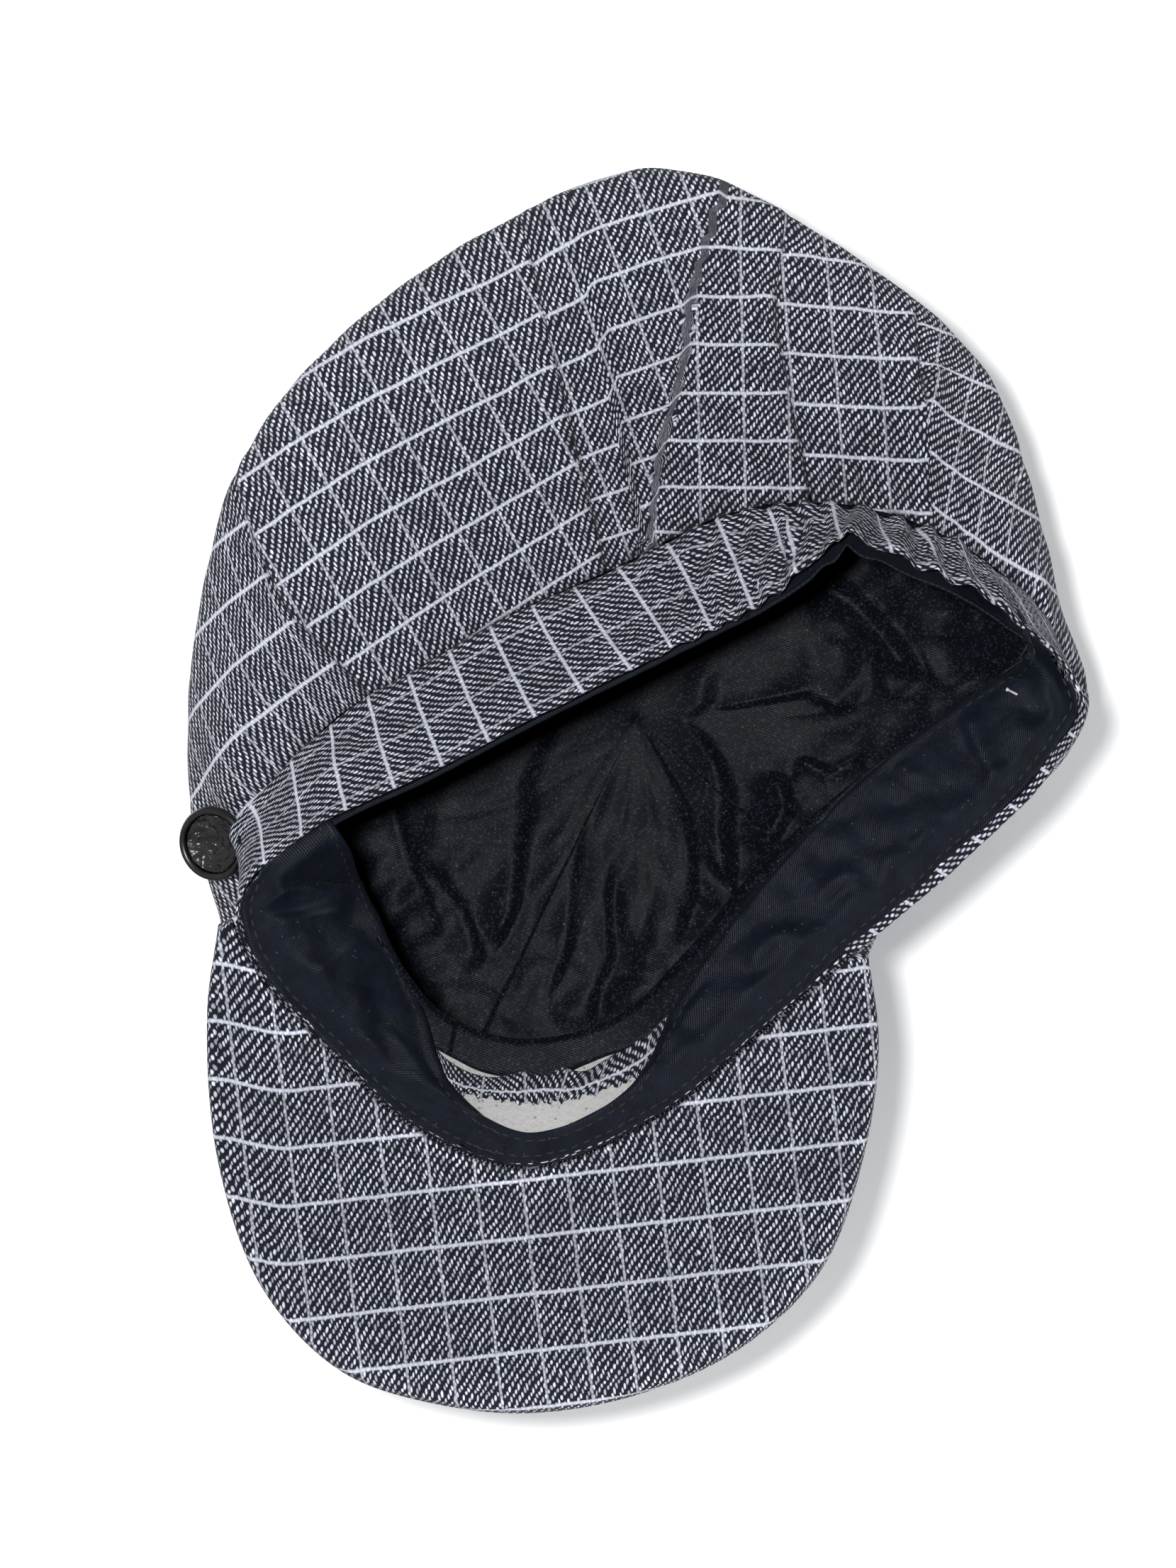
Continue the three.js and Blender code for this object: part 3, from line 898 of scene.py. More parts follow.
def add_crown():
    """The eight panels, each a grid from the band to the button."""
    for number, (start, stop) in enumerate(spans(CROWN_SEAMS), 1):
        wide = arc(equator(np.linspace(start, stop, 60)), 0)[-1]
        columns = int(wide / 2.0) + 1
        rises = even_rises((start + stop) / 2, 104)
        share, rise = np.meshgrid(np.linspace(0, 1, columns), rises)
        station = lerp(swayed(start, rise), swayed(stop, rise), share)
        points = crown(station, rise)
        edge = edge_distance(points)
        outwards = out_of(start, stop)
        flat = rolled_out(points, rises, outwards)
        degrees = LINE_ANGLES.get(number, math.degrees(math.atan2(outwards[0], outwards[1])))
        relief = crown_relief(np.mod(station, STATIONS), rise, points, edge)
        row = widest_row(rises)
        panel = (points, flat, row)
        uv = weave_at(spread_from_pole(points, row, outwards), degrees)
        if number == PLEATED_PANEL:
            under = pleat_weave(panel)
        elif number in PANEL_LINES:
            under = bend_to_lines(panel, PANEL_LINES[number], degrees)
        else:
            under = uv
        uv = uv + under[row, columns // 2] - uv[row, columns // 2]
        uv = lerp(under, uv, smooth(rise, 0.4, 0.74)[..., None])
        points = points + crown_normal(station, rise) * relief[..., None]
        cloth(f"crown_cloth_{number}", points, uv, CROWN_THICKNESS, wool, "plaid_wool",
              [f"crown_panel_{number}"], flat)


LINING_FOLDS = [  # route seen from below, how far it fades on its left, height of the fold
    ([(40, 24), (42, -3), (40, -21), (37, -35), (42, -48)], 9, 5.4),
    ([(-31, 50), (-34, 29), (-30, 10), (-27, -13), (-29, -34)], 9, 6.6),
    ([(-12, -48), (-20, -30), (-22, -12), (-12, 8)], 10, 4.2),
    ([(11, -72), (10, -60), (5, -48), (8, -30)], 9, 3.6),
    ([(-50, 62), (-66, 52), (-84, 33)], 6, 7.2),
    ([(-46, 8), (-56, 2), (-66, 8)], 5, 4.2),
    ([(-40, 4), (-44, -8), (-38, -20)], 5, 4.2),
    ([(62, -20), (50, -34), (44, -52)], 8, 3.6),
    ([(73, 6), (66, -20), (56, -44)], 6, 3.6),
    ([(-62, 22), (-52, 30), (-36, 26)], 7, 3.6),
    ([(24, -20), (20, -44), (27, -62)], 9, 2.16),
    ([(70, -6), (40, -8), (12, -4)], 2.5, 1.08),
]
LINING_HANG = 0.72  # share of the band's height where the lining's hem hangs at the front
LINING_THICKNESS = 0.4
LINING_GAP = 4.8  # between the crown's outer face and the lining
HEM_GAP = 1.9
HEM_ROWS = 6


def lining_slack(points, rise):
    """How far the loose lining stands off the crown, besides the gap at its edges."""
    slack = 2.6 + (1 - np.abs(waves(points, 52, 21))) * 1.2 + waves(points, 85, 22) * 0.9
    slack += (1 - np.abs(waves(points[..., :2], 20, 23))) * 0.8 + waves(points, 9, 24) * 0.2
    for route, fade, height in LINING_FOLDS:
        slack += fold(points, route, fade, height)
    return np.clip(lerp(slack, 3.5, smooth(rise, 0.86, 0.96)), 0.4, 11)


def add_lining():
    """Four loose panels whose hem lies on the inner face of the band."""
    for number, (start, stop) in enumerate(spans(LINING_SEAMS), 1):
        columns = int(arc(equator(np.linspace(start, stop, 90)), 0)[-1] / 1.8) + 1
        rises = 0.02 + even_rises((start + stop) / 2, 120) * 0.98
        station, rise = np.meshgrid(np.linspace(start, stop, columns), rises)
        points = crown(station, rise)
        outwards = out_of(start, stop)
        flat = rolled_out(points, rises, outwards)
        loose = smooth(rise, 0.03, 0.14)
        seam = 0.4 * bell(edge_distance(points), 1.5) * (1 - smooth(rise, 0.4, 0.7))
        depth = LINING_GAP + loose * (lining_slack(points, rise) - seam)
        points = points - crown_normal(station, rise) * depth[..., None]
        closing = smooth(rise, 0.86, 0.99)[..., None] * 0.96
        points[..., :2] = lerp(points[..., :2], CROWN_CENTRE, closing)
        turn = np.mod(station[:HEM_ROWS], STATIONS)
        front = window(turn, 9.8, 10.8, 16.9, 17.6)
        hang = LINING_HANG - 0.3 * bell(turn - 11.4, 0.9)
        foot = lerp(0.95, hang + 0.02 * waves(points[:HEM_ROWS], 14, 25), front)
        step = np.linspace(0, 1, HEM_ROWS)[:, None]
        hem = band_face(station[:HEM_ROWS], lerp(foot, 0.99, step), lerp(HEM_GAP, LINING_GAP, step))
        points = np.concatenate([hem, points])
        low = flat[:1] + (hem - hem[-1:])[..., :2] * 1.1
        flat = np.concatenate([low - outwards * 1.5, flat])
        cloth(f"lining_cloth_{number}", points, weave_at(points[..., :2], 20), LINING_THICKNESS,
              lining_satin, "lining_satin", [f"lining_panel_{number}"],
              flat)


# ---------------------------------------------------------------- band
HEM_PROFILE = [  # share of the band's height, depth behind its face
    (0.99, 0.0), (0.05, 0.0), (0.02, 0.1), (0.0, 0.35), (-0.01, 0.8), (0.0, 1.25), (0.025, 1.5),
    (0.06, 1.6), (0.26, 1.6),
]
PLAIN_PROFILE = [(0.99, 0.0), (0.05, 0.0), (0.02, 0.0)]
BAND_THICKNESS = 0.8
BAND_SLANT = 0.28
BAND_PHASE = 8.0
BAND_SWELLS = [(24, 31, 0.45), (9, 32, 0.16)]  # length, seed, height
FRONT_CALM = 0.3  # the hidden strip at the front is that much as uneven as the others
GATHER_STATIONS = (5.4, 7.2)
BAND_STRIPS = [
    ("left", "headband_left", -0.3, 5.4),
    ("gathered", "headband_back_gathered", *GATHER_STATIONS),
    ("right", "headband_right", 7.2, 11.1),
    ("front", "headband_front", 11.1, 17.7),
]


def band_profile(profile):
    """Evenly spaced places down the band's face and round its hem."""
    shares = np.array(profile)
    scaled = shares * [32, 1]
    length = np.concatenate([[0], np.cumsum(np.linalg.norm(np.diff(scaled, axis=0), axis=1))])
    even = np.concatenate([
        np.linspace(length[0], length[1], 18, endpoint=False),
        np.linspace(length[1], length[-1], 14),
    ])
    return np.interp(even, length, shares[:, 0]), np.interp(even, length, shares[:, 1])


def add_band():
    """The four strips of the band, each from its top down and, but at the front, round the hem."""
    for label, node, start, stop in BAND_STRIPS:
        shares, depths = band_profile(PLAIN_PROFILE if label == "front" else HEM_PROFILE)
        length = arc(rim(np.linspace(start, stop, 200)), 0)[-1]
        station = np.linspace(start, stop, int(length / 1.6) + 1)
        stations, share = np.meshgrid(station, shares)
        depth = np.repeat(depths[:, None], len(station), axis=1)
        points = band_face(stations, share, depth)
        gathered = window(stations, 3.8, 4.6, 6.5, 7.4)
        ruffles = np.sin(stations * 2 * math.pi / 0.25 + waves(points, 26, 33) * 1.3)
        relief = swells(points, BAND_SWELLS) + gathered * ruffles * 1.2
        if label == "front":
            relief *= FRONT_CALM
        normal = unit(np.cross(rim(stations + 0.1) - rim(stations - 0.1),
                               band_top(stations) - rim(stations)))
        points = points + normal * relief[..., None]
        along = arc(band_face(station, 0.5), 0)
        down = arc(points, 0)[:, len(station) // 2]
        v, u = np.meshgrid(along, down)
        uv = np.stack([u, v - BAND_SLANT * u + BAND_PHASE], axis=-1)
        cloth(f"band_cloth_{label}", points[:, ::-1], uv[:, ::-1], BAND_THICKNESS, wool_band,
              "plaid_wool", [node])


# ---------------------------------------------------------------- sweatband
TAPE_EDGE = {  # free edge of the sweatband by station, seen from above
    0: (77, -19), 8: (-105, 38), 9: (-87, 23), 10: (-62, 4), 11: (-38, -21), 12: (-13, -54),
    13: (2, -80), 14: (30, -92), 15: (50, -80), 16: (60, -55), 17: (70.5, -35),
}
TAPE_JOIN = 14.2
TAPE_LAP = 0.4  # stations by which the right piece runs on under the left one
TAPE_DEPTH = 3.4  # in front of the band's inner face where the tape shows
HIDDEN_DEPTH = 4.6  # behind the band's outer face where the band hides it
TAPE_THICKNESS = 0.7
TAPE_LOWEST = 0.5
STITCH_LIFT = 0.8
STITCH_SPACING = 3.4
STITCH_LENGTH = 2.4
STITCH_RADIUS = 0.36
STITCHES_FROM_FOOT = 2.6
STITCHES_FROM_EDGE = 2.4
TAPE_FOLDS = [  # route seen from below, how far it fades on its left, height of the fold
    ([(106, -27), (92, -26), (76, -29)], 4, 2.56), ([(102, -37), (90, -34), (78, -32)], 3, 1.6),
    ([(70, -62), (58, -76), (48, -88)], 5, 1.44), ([(-98, 0), (-92, 12), (-89, 21)], 4, 1.92),
    ([(-60, -22), (-54, -24), (-48, -30)], 3, 1.44),
    ([(-44, -38), (-36, -40), (-30, -48)], 3, 1.44),
    ([(0, -84), (-10, -66), (-22, -50)], 6, 1.28), ([(32, -98), (38, -94), (45, -90)], 3, 1.92),
    ([(-80, 2), (-74, 4), (-70, 8)], 4, 1.28), ([(88, -50), (80, -44), (74, -38)], 5, 1.28),
]
FINE_STATIONS = np.linspace(0, STATIONS, 361)
RIM_LINE = rim(FINE_STATIONS)[:, :2]
TOP_LINE = band_top(FINE_STATIONS)[:, :2]


def on_inner_face(flat, depth):
    """Points at places seen from below, at a depth in front of the band's face at the front."""
    low, _ = beside(flat, RIM_LINE)
    high, _ = beside(flat, TOP_LINE)
    width = np.maximum(low - high, 12)
    slant = np.sqrt(1 + (BAND_HEIGHT / width) ** 2)
    height = BAND_HEIGHT * (low / width) - depth * slant
    return np.concatenate([flat[..., :2], height[..., None]], axis=-1)


def tape_edge(station):
    """The tape's free edge: as listed, and 7.5 mm inside the band's top where it is hidden."""
    corners = [TAPE_EDGE.get(k, tuple(band_top(np.array([k]), 7.5)[0][:2]))
               for k in range(STATIONS)]
    return spline(corners, np.asarray(station) / STATIONS, True)


def tucked_away(turn):
    """1 where the tape lies behind the folded-over back of the band."""
    return window(turn, 0.1, 0.9, 6.9, 7.7)


def tape_face(station, share):
    """The tape's face from the rim (share 0) to its free edge (share 1)."""
    station, share = np.broadcast_arrays(np.asarray(station, float), np.asarray(share, float))
    turn = np.mod(station, STATIONS)
    hem = 1.2 + window(turn, 6.8, 8.0, 9.2, 10.6) - 1.3 * window(turn, 11.1, 11.6, 17.3, 17.7)
    foot = rim(station, hem)[..., :2]
    flat = lerp(foot, tape_edge(station), share[..., None])
    depth = lerp(0.6, TAPE_DEPTH, smooth(share, 0, 0.22))
    front = on_inner_face(flat, depth)
    front[..., 2] = np.maximum(front[..., 2], 0.2 + share * 2)
    back = band_face(station, 0.02 + 0.86 * share, HIDDEN_DEPTH)
    return lerp(front, back, tucked_away(turn)[..., None])


def point_at(line, lengths, place):
    """The point of a line at that length along it."""
    return np.array([np.interp(place, lengths, line[:, axis]) for axis in range(3)])


def row_across(points, distance, place):
    """A line along a strip: the point of each column at that distance from the strip's edge."""
    return np.array([point_at(points[:, k], distance[:, k], place)
                     for k in range(points.shape[1])])


def add_stitches(name, lines, lift):
    """Rows of short sewn stitches along lines of points, as one piece of small rounded tubes."""
    stretch = np.array([-0.5, -0.34, 0, 0.34, 0.5]) * STITCH_LENGTH
    swell = np.array([0.15, 0.85, 1, 0.85, 0.15]) * STITCH_RADIUS
    turns = np.linspace(0, 2 * math.pi, 6, endpoint=False)
    points, faces = [], []
    for line in lines:
        lengths = arc(line, 0)
        for middle in np.arange(STITCH_SPACING, lengths[-1] - STITCH_SPACING, STITCH_SPACING):
            centre = point_at(line, lengths, middle)
            rise = point_at(lift, lengths, middle)
            along = unit(point_at(line, lengths, middle + 0.5) - centre)
            side = unit(np.cross(along, rise))
            up = np.cross(side, along)
            first = len(points) * len(turns)
            for place, size in zip(stretch, swell):
                ringed = (np.cos(turns)[:, None] * side - np.sin(turns)[:, None] * up) * size
                points.append(centre + along * place + rise + ringed)
            faces.extend(grid_faces(len(stretch), len(turns), loop=True) + first)
            last = first + (len(stretch) - 1) * len(turns)
            faces.append(list(range(first + len(turns) - 1, first - 1, -1)))
            faces.append(list(range(last, last + len(turns))))
    piece = mesh_piece(name, np.concatenate(points), faces)
    return dress(piece, dark_thread, "sweatband_tape")


def tape_relief(points, across, edge):
    """Height of the tape over its plain face: folds, puckers beside the rim and a rolled edge."""
    relief = -0.5 * (1 + waves(points, 40, 41)) - 0.36 * (1 + waves(points, 12, 42))
    relief -= 0.5 * bell(edge - 1.2, 1.2)
    pucker = np.sin(arc(points, 1) * 2 * math.pi / 9 + waves(points, 30, 43) * 2)
    relief -= 0.5 * np.clip(pucker, 0, 1) * np.exp(-across / 5)
    relief -= 0.3 * (1 + waves(points, 5, 44)) * bell(across - 2, 2.5)
    for route, fade, height in TAPE_FOLDS:
        relief -= fold(points, route, fade, height)
    return relief


def add_sweatband():
    """Both pieces of the tape, from the middle of the back to the join, with their stitches."""
    for label, start, stop in (("left", TAPE_JOIN - STATIONS, BACK_STATION),
                               ("right", BACK_STATION, TAPE_JOIN + TAPE_LAP)):
        length = arc(rim(np.linspace(start, stop, 300)), 0)[-1]
        station, share = np.meshgrid(np.linspace(start, stop, int(length / 1.3) + 1),
                                     np.linspace(0, 1, 26))
        points = tape_face(station, share)
        across = arc(points, 0)
        from_edge = across[-1:] - across
        around = tape_face(station + 0.05, share) - tape_face(station - 0.05, share)
        normal = unit(np.cross(around, tape_face(station, 1.0) - tape_face(station, 0.0)))
        relief = tape_relief(points, across, np.minimum(across, from_edge))
        relief *= 1 - 0.8 * tucked_away(np.mod(station, STATIONS))
        if label == "right":
            relief -= 0.9 * smooth(station, TAPE_JOIN - 0.6, TAPE_JOIN)
        points = points + normal * relief[..., None]
        low = TAPE_LOWEST + TAPE_THICKNESS - points[..., 2]
        lifted = TAPE_LOWEST + TAPE_THICKNESS * (1 - np.tanh(low / TAPE_THICKNESS))
        points[..., 2] = np.where(low > 0, lifted, points[..., 2])
        lines = [row_across(points, across, STITCHES_FROM_FOOT),
                 row_across(points[::-1], from_edge[::-1], STITCHES_FROM_EDGE)]
        add_stitches(f"tape_stitches_{label}", lines, normal[9] * -STITCH_LIFT)
        along = arc(tape_face(station[0], np.full(station.shape[1], 0.5)), 0)
        uv = np.stack([np.broadcast_to(along, station.shape), across], axis=-1)
        cloth(f"sweatband_tape_{label}", points, uv, TAPE_THICKNESS, tape, "sweatband_tape",
              [f"sweatband_{label}"])


# ---------------------------------------------------------------- felt, elastic, raw edges
STRIP_THICKNESS = 0.7
ALLOWANCE_THICKNESS = 0.6
ALLOWANCE_DEPTH = 2.1


def inner_strip(name, node, start, stop, shares, depth, material, slot, seed):
    """A strip behind the band between two stations and two shares of the band's height."""
    length = arc(rim(np.linspace(start, stop, 200)), 0)[-1]
    station, share = np.meshgrid(np.linspace(start, stop, int(length / 2.5) + 1),
                                 np.linspace(*shares, 12))
    points = band_face(station, share, depth)
    points[..., 2] += 0.2 * waves(points, 12, seed)
    uv = np.stack([arc(points, 1), arc(points, 0)], axis=-1)
    cloth(name, points, uv, STRIP_THICKNESS, material, slot, [node])


def add_inner_strips():
    inner_strip("front_felt", "front_stiffener", 11.6, 17.2, (0.92, 0.1), 1.3, felt,
                "white_felt", 51)
    inner_strip("back_elastic_strip", "back_elastic", *GATHER_STATIONS, (0.85, 0.4), 3.2, elastic,
                "elastic", 52)


ALLOWANCE_TOP = [(56, -66), (52.8, -71), (46, -75.4), (39.6, -77), (34, -76.2), (27.6, -74.6),
                 (21.2, -74.2), (14.8, -75.4), (9.2, -72.6), (3.6, -69), (-3.6, -64.2), (-8, -60)]
ALLOWANCE_FOOT = [(53, -79), (49.2, -80.8), (39.6, -82.6), (29.2, -83.8), (22, -83.4), (14, -81.8),
                  (1.2, -77), (-6, -71)]


def add_allowance():
    """The raw edges of the crown's seam with the band, folded down over the felt."""
    along, across = np.meshgrid(np.linspace(0, 1, 90), np.linspace(0, 1, 12))
    top = spline(ALLOWANCE_TOP, along)
    foot = spline(ALLOWANCE_FOOT, along)
    flat = lerp(top, foot, across[..., None])
    flat[..., 1] += 0.9 * np.sin(along * 150) * np.sin(along * 61) * across ** 3
    points = on_inner_face(flat, ALLOWANCE_DEPTH)
    points[..., 2] -= 0.6 * (1 + waves(points, 9, 53)) + 0.9 * np.sin(across * math.pi)
    length = arc(spline(ALLOWANCE_TOP, along[0]), 0)[-1]
    width = np.linalg.norm(foot - top, axis=-1).mean() * 1.25
    uv = np.stack([along * length, across * width], axis=-1)
    cloth("seam_allowance_raw", points[::-1], uv[::-1], ALLOWANCE_THICKNESS, wool, "plaid_wool",
          [])


# ---------------------------------------------------------------- brim
def brim(along, reach, height):
    """A point of the brim, from its seam (reach 0) to its outer edge (reach 1)."""
    along, reach, height = np.broadcast_arrays(*(np.asarray(a, float)
                                                 for a in (along, reach, height)))
    fine = np.linspace(0, 1, 600)
    edge_line = spline(BRIM_EDGE, fine)
    length = arc(edge_line, 0)
    at = np.interp(along * length[-1], length, fine)
    edge = spline(BRIM_EDGE, at)
    seam = rim(lerp(BRIM_SEAM[0], BRIM_SEAM[1], along), -0.6)
    point = seam.copy()
    point[..., :2] = lerp(seam[..., :2], edge, reach[..., None])
    sideways = (point[..., 0] - BRIM_AXIS_X) / BRIM_HALF_WIDTH
    point[..., 2] = height + BRIM_LIFT * reach * np.maximum(0, 1 - sideways ** 2)
    return point


BRIM_LEVEL = 2.5
BRIM_HALF_THICKNESS = 2.0
BRIM_ROLL = 2.2  # radius of the rolled edge
BRIM_GROOVE = 0.5
GROOVE_INSET = 5
BRIM_THICKNESS = 0.7
BRIM_LINE_ANGLE = 6.5


def add_brim():
    """Both covers of the brim; their edges meet round the board."""
    for label, side in (("under", -1), ("top", 1)):
        along, reach = np.meshgrid(np.linspace(0, 1, 150), np.linspace(0, 1, 70) ** 0.97)
        points = brim(along, reach, 0)
        across = arc(points, 1)
        out = arc(points, 0)
        edge = np.minimum(out[-1:] - out, np.minimum(across, across[:, -1:] - across))
        bulge = np.sqrt(np.clip(1 - (1 - np.clip(edge / BRIM_ROLL, 0, 1)) ** 2, 0, 1))
        relief = swells(points, [(34, 61 + side, 0.35), (12, 63 + side, 0.15)])
        groove = BRIM_GROOVE * bell(edge - GROOVE_INSET, 1.1)
        swollen = (BRIM_HALF_THICKNESS + relief) * bulge - groove
        points[..., 2] += BRIM_LEVEL + side * swollen
        flat = points[..., :2]
        outer = unit(flat - np.array(BRIM_MIDDLE)) * (2.4 * (1 - bulge))[..., None]
        uv = weave_at(flat + outer, BRIM_LINE_ANGLE)
        uv[..., 1] -= 6 * smooth(points[..., 0], 92, 118)
        order = slice(None, None, -1) if side < 0 else slice(None)
        cloth(f"brim_{label}_cloth", points[:, order][:, ::-1], uv[:, order][:, ::-1],
              BRIM_THICKNESS, wool_brim, "plaid_wool", [f"brim_{label}_cover"])


# ---------------------------------------------------------------- button, studs, tag
BUTTON_WRAP = 1.95  # radians from the top of the button to the edge of its cloth
BUTTON_SEGMENTS = 72
BUTTON_THICKNESS = 0.6
STUD_RISE = 0.225
STUD_LIFT = 0.6
STUD_PLACES = [("left", 17.8, 0.5, (0.6, -2.0, 0)), ("right", 10.4, 0.0, (0, 0, 0))]
STUD_SEGMENTS = 96
RING_RADIUS = 9.05
RING_HALF_WIDTH = 1.15
RING_HALF_HEIGHT = 1.5
RING_LEVEL = 3.9
DISH_RADIUS = 7.8
DISH_LEVEL = 3.3
DISH_CUP = 1.3
DISH_BACK = [(7.8, 3.3), (4, 2.6), (0.02, 2.4)]  # radius, height
DISH_DENTS = [(2.4, 81, 0.16), (1.3, 82, 0.06)]  # length, seed, height
TAG_PROFILE = [  # radius, height
    (0.02, -3.4), (0.75, -3.3), (0.75, -2.7), (0.34, -2.4), (0.3, 2.3), (0.55, 2.7), (0.5, 3.1),
    (0.02, 3.2),
]


def lathe(profile, segments):
    """Rings of points round the Z axis, one for each radius and height of a profile."""
    turns = np.linspace(0, 2 * math.pi, segments, endpoint=False)
    profile = np.asarray(profile, float)
    radius, height = profile[:, :1], profile[:, 1:]
    return np.stack([radius * np.cos(turns), radius * np.sin(turns),
                     np.broadcast_to(height, (len(profile), segments))], axis=-1)


def centre_of(node):
    low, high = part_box(node)
    return (np.array(low) + np.array(high)) / 2 / MM - SHIFT


def add_button():
    """The cloth over the button, gathered a little at its foot."""
    low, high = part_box("crown_button_cover")
    radius = (high.x - low.x) / 2 / MM
    steps = np.linspace(0.02, 1, 22)
    wrap = steps * BUTTON_WRAP
    out = np.where(wrap < 1.57, radius * np.sin(wrap), radius - (wrap - 1.57) * 2.4)
    height = high.z / MM - 4.4 * (1 - np.cos(wrap)) / 1.15
    points = lathe(np.stack([out, height], axis=-1), BUTTON_SEGMENTS)
    turn = np.arctan2(points[..., 1], points[..., 0])
    skirt = smooth(steps, 0.55, 1.0)[:, None]
    points[..., :2] *= (1 + 0.03 * skirt * np.sin(turn * 18))[..., None]
    points[..., :2] += CROWN_CENTRE
    points[..., 2] += waves(points, 6, 71) * 0.08
    length = arc(points, 0)[:, :1]
    uv = np.stack([length * np.cos(turn) + 3, length * np.sin(turn) + 4], axis=-1)
    faces = list(grid_faces(*points.shape[:2], loop=True)[:, ::-1])
    faces.append(range(BUTTON_SEGMENTS))
    piece = mesh_piece("button_cloth", points.reshape(-1, 3), faces, uv.reshape(-1, 2))
    thicken(piece, BUTTON_THICKNESS)
    dress(piece, wool, "plaid_wool", "crown_button_cover")


def stand(points, foot, direction):
    """Turns lathed points from +Z to a direction and moves them to a foot."""
    turn = Vector((0, 0, 1)).rotation_difference(Vector(direction)).to_matrix()
    return points @ np.array(turn).T + foot


def add_studs():
    """A rolled ring and a hammered dish for each stud, leaning towards the viewer below."""
    turns = np.append(np.linspace(0, 2 * math.pi, 24, endpoint=False), 0)
    rolled = np.stack([RING_RADIUS + RING_HALF_WIDTH * np.cos(turns),
                       RING_LEVEL + RING_HALF_HEIGHT * np.sin(turns)], axis=-1)
    radii = np.linspace(0.02, DISH_RADIUS, 28)
    bowl = [(r, DISH_LEVEL + DISH_CUP * (r / DISH_RADIUS) ** 2) for r in radii]
    for side, station, lean, slip in STUD_PLACES:
        at = np.array([station]), np.array([STUD_RISE])
        normal = crown_normal(*at)[0]
        direction = unit(lerp(normal, np.array([0, 0, -1.0]), lean))
        foot = crown(*at)[0] + normal * STUD_LIFT + slip
        points = stand(lathe(rolled, 72), foot, direction)
        ring_piece = mesh_piece(f"stud_{side}_ring", points.reshape(-1, 3),
                                grid_faces(*points.shape[:2], loop=True))
        dress(ring_piece, ring_metal, "gunmetal", f"stud_{side}_rim")
        points = lathe(bowl + DISH_BACK, STUD_SEGMENTS)
        points[:len(bowl), :, 2] += swells(points, DISH_DENTS)[:len(bowl)]
        points = stand(points, foot, direction)
        faces = list(grid_faces(*points.shape[:2], loop=True)[:, ::-1])
        last = (len(points) - 1) * STUD_SEGMENTS
        faces.append(range(STUD_SEGMENTS))
        faces.append(range(last + STUD_SEGMENTS - 1, last - 1, -1))
        dish = mesh_piece(f"stud_{side}_dish_hammered", points.reshape(-1, 3), faces)
        dress(dish, dish_metal, "gunmetal", f"stud_{side}_dish")


def add_tag():
    """The stub of the tag fastener, a thin bar with a head at each end."""
    centre = centre_of("tag_fastener_stub") + np.array([0, 0, -1.5])
    along = unit(np.array([0.86, 0.42, -0.3]))
    points = stand(lathe(TAG_PROFILE, 20), centre, along)
    tag = mesh_piece("tag_barb", points.reshape(-1, 3), grid_faces(*points.shape[:2], loop=True))
    dress(tag, nylon, "nylon", "tag_fastener_stub")


add_crown()
add_lining()
add_band()
add_sweatband()
add_inner_strips()
add_allowance()
add_brim()
add_button()
add_studs()
add_tag()

for node, material in (("brim_board", board), ("crown_button_core", board),
                       ("stud_left_post", ring_metal), ("stud_right_post", ring_metal)):
    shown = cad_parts[node]
    shown.data.materials.clear()
    shown.data.materials.append(material)

# ---------------------------------------------------------------- camera, stage and light
VIEW_CENTRE = (13.4, 1.9)
VIEW_DISTANCE = 2000
VIEW_HEIGHT = 420.3
SENSOR = 36
STAGE_HALF = 3000
FLOOR_LEVEL = -0.3
BACKDROP_LEVEL = 101


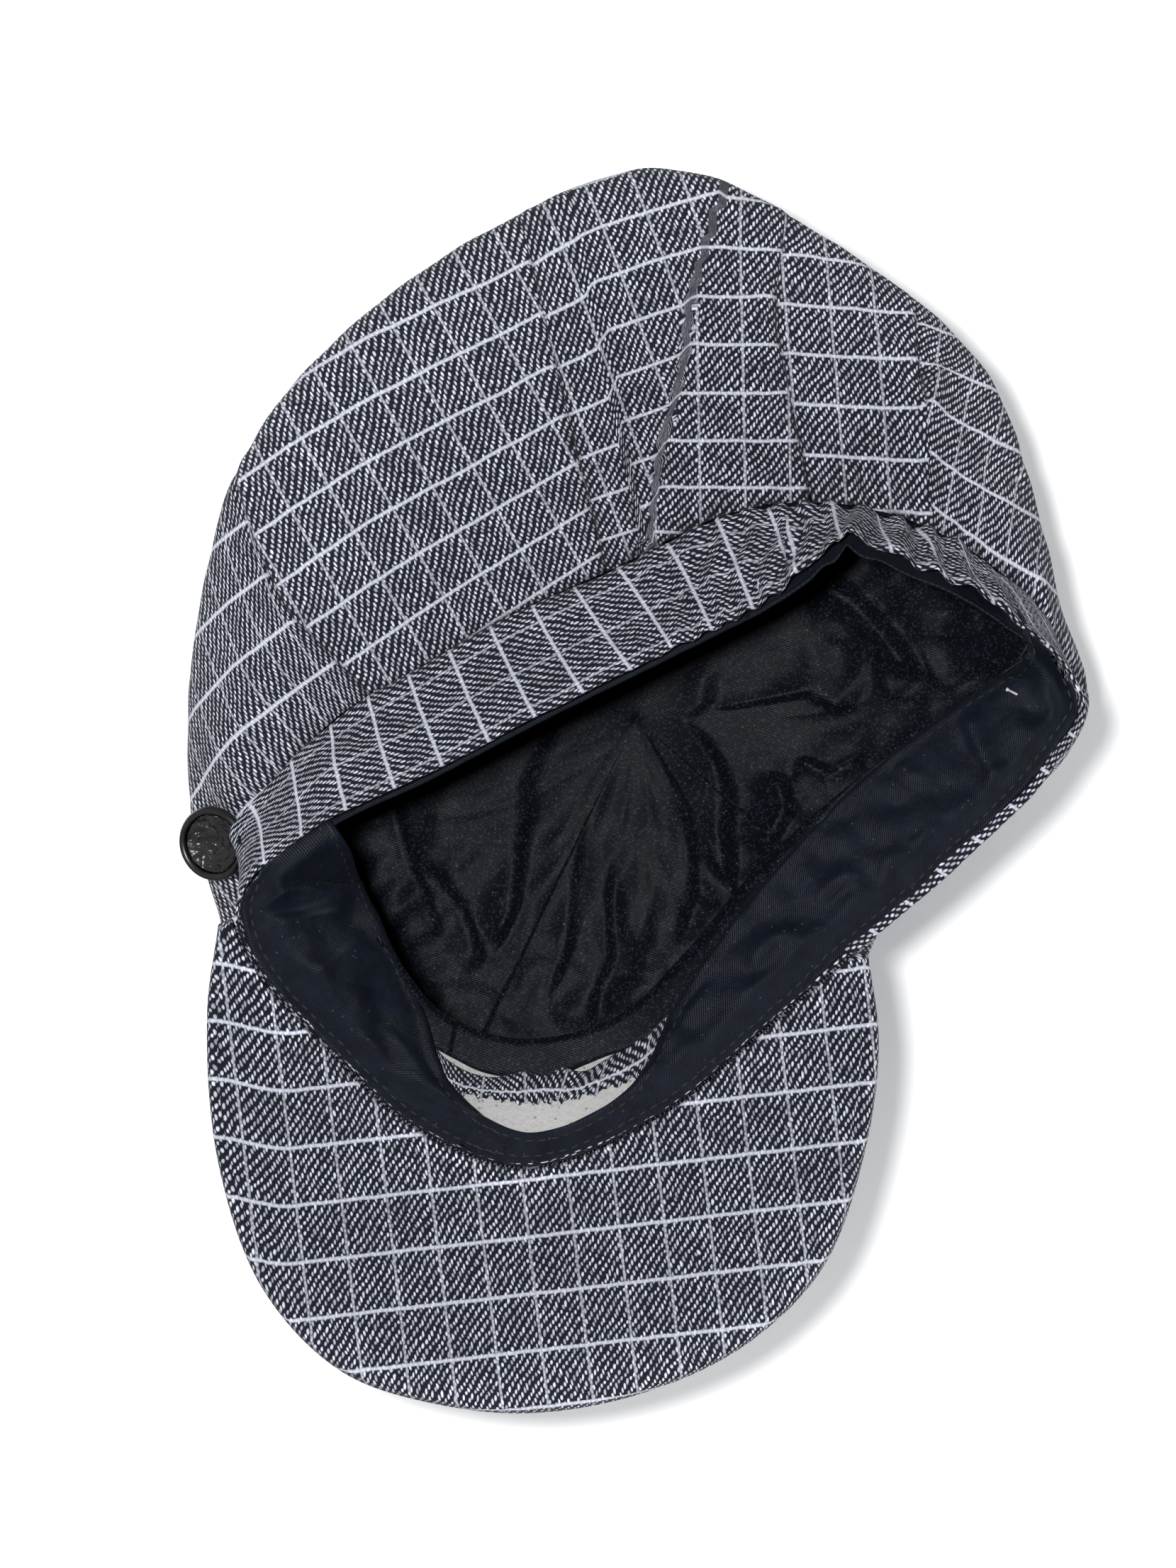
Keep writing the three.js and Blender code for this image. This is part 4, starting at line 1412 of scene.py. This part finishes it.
def one_sided(name, colour, seen_from_above):
    """A matt surface that the camera sees from one side only, so the other side's view is free."""
    recipe = Recipe(name, Roughness=0.9)
    at = recipe.place()
    recipe.colour(recipe.blend(recipe.noise(at, 3), tone(colour), tone(colour + 3)))
    nodes = recipe.tree.nodes
    geometry = nodes.new("ShaderNodeNewGeometry")
    clear = nodes.new("ShaderNodeBsdfTransparent")
    mix = nodes.new("ShaderNodeMixShader")
    recipe.tree.links.new(geometry.outputs["Backfacing"], mix.inputs["Fac"])
    first, second = (recipe.shader, clear) if seen_from_above else (clear, recipe.shader)
    recipe.tree.links.new(first.outputs[0], mix.inputs[1])
    recipe.tree.links.new(second.outputs[0], mix.inputs[2])
    recipe.tree.links.new(mix.outputs[0], nodes["Material Output"].inputs["Surface"])
    return recipe.material


def add_stage(name, height, material):
    """A large level plane of the stage."""
    corners = [(x * STAGE_HALF, y * STAGE_HALF, height)
               for x, y in ((-1, -1), (1, -1), (1, 1), (-1, 1))]
    plane = mesh_piece(name, corners, [[0, 1, 2, 3]])
    plane.data.materials.append(material)
    plane.visible_shadow = False
    return plane


add_stage("floor", FLOOR_LEVEL, one_sided("pale_floor", 236, True))
backdrop = add_stage("backdrop", BACKDROP_LEVEL, one_sided("pale_backdrop", 250, False))
backdrop.visible_diffuse = False
backdrop.visible_glossy = False

camera = bpy.data.objects.new("camera", bpy.data.cameras.new("camera"))
bpy.context.scene.collection.objects.link(camera)
camera.location = put_in_frame([*VIEW_CENTRE, -VIEW_DISTANCE])
camera.rotation_euler = (0, math.pi, 0)
camera.data.sensor_width = SENSOR
camera.data.lens = SENSOR * VIEW_DISTANCE / VIEW_HEIGHT
camera.data.clip_end = 20
bpy.context.scene.camera = camera


LIGHT_TARGET = (0, 0, 0.05)


def add_light(name, place, size, power):
    """A soft disk of light, in metres and watts, that looks at the cap."""
    lamp = bpy.data.lights.new(name, "AREA")
    lamp.shape = "DISK"
    lamp.size = size
    lamp.energy = power
    light = bpy.data.objects.new(name, lamp)
    light.location = place
    direction = Vector(LIGHT_TARGET) - Vector(place)
    light.rotation_euler = direction.to_track_quat("-Z", "Y").to_euler()
    light.visible_camera = False
    bpy.context.scene.collection.objects.link(light)


add_light("key_below", (0.19, 0.09, -1.95), 0.17, 32)
add_light("soft_above", (-0.7, -0.9, 1.7), 1.2, 24)
add_light("fill_above", (1.3, 0.6, 1.3), 1.4, 12)

world = bpy.data.worlds.new("studio")
world.use_nodes = True
sky = world.node_tree.nodes["Background"].inputs
sky["Color"].default_value = (0.95, 0.97, 1.0, 1)
sky["Strength"].default_value = 0.32
bpy.context.scene.world = world
bpy.context.scene.view_settings.view_transform = "Standard"
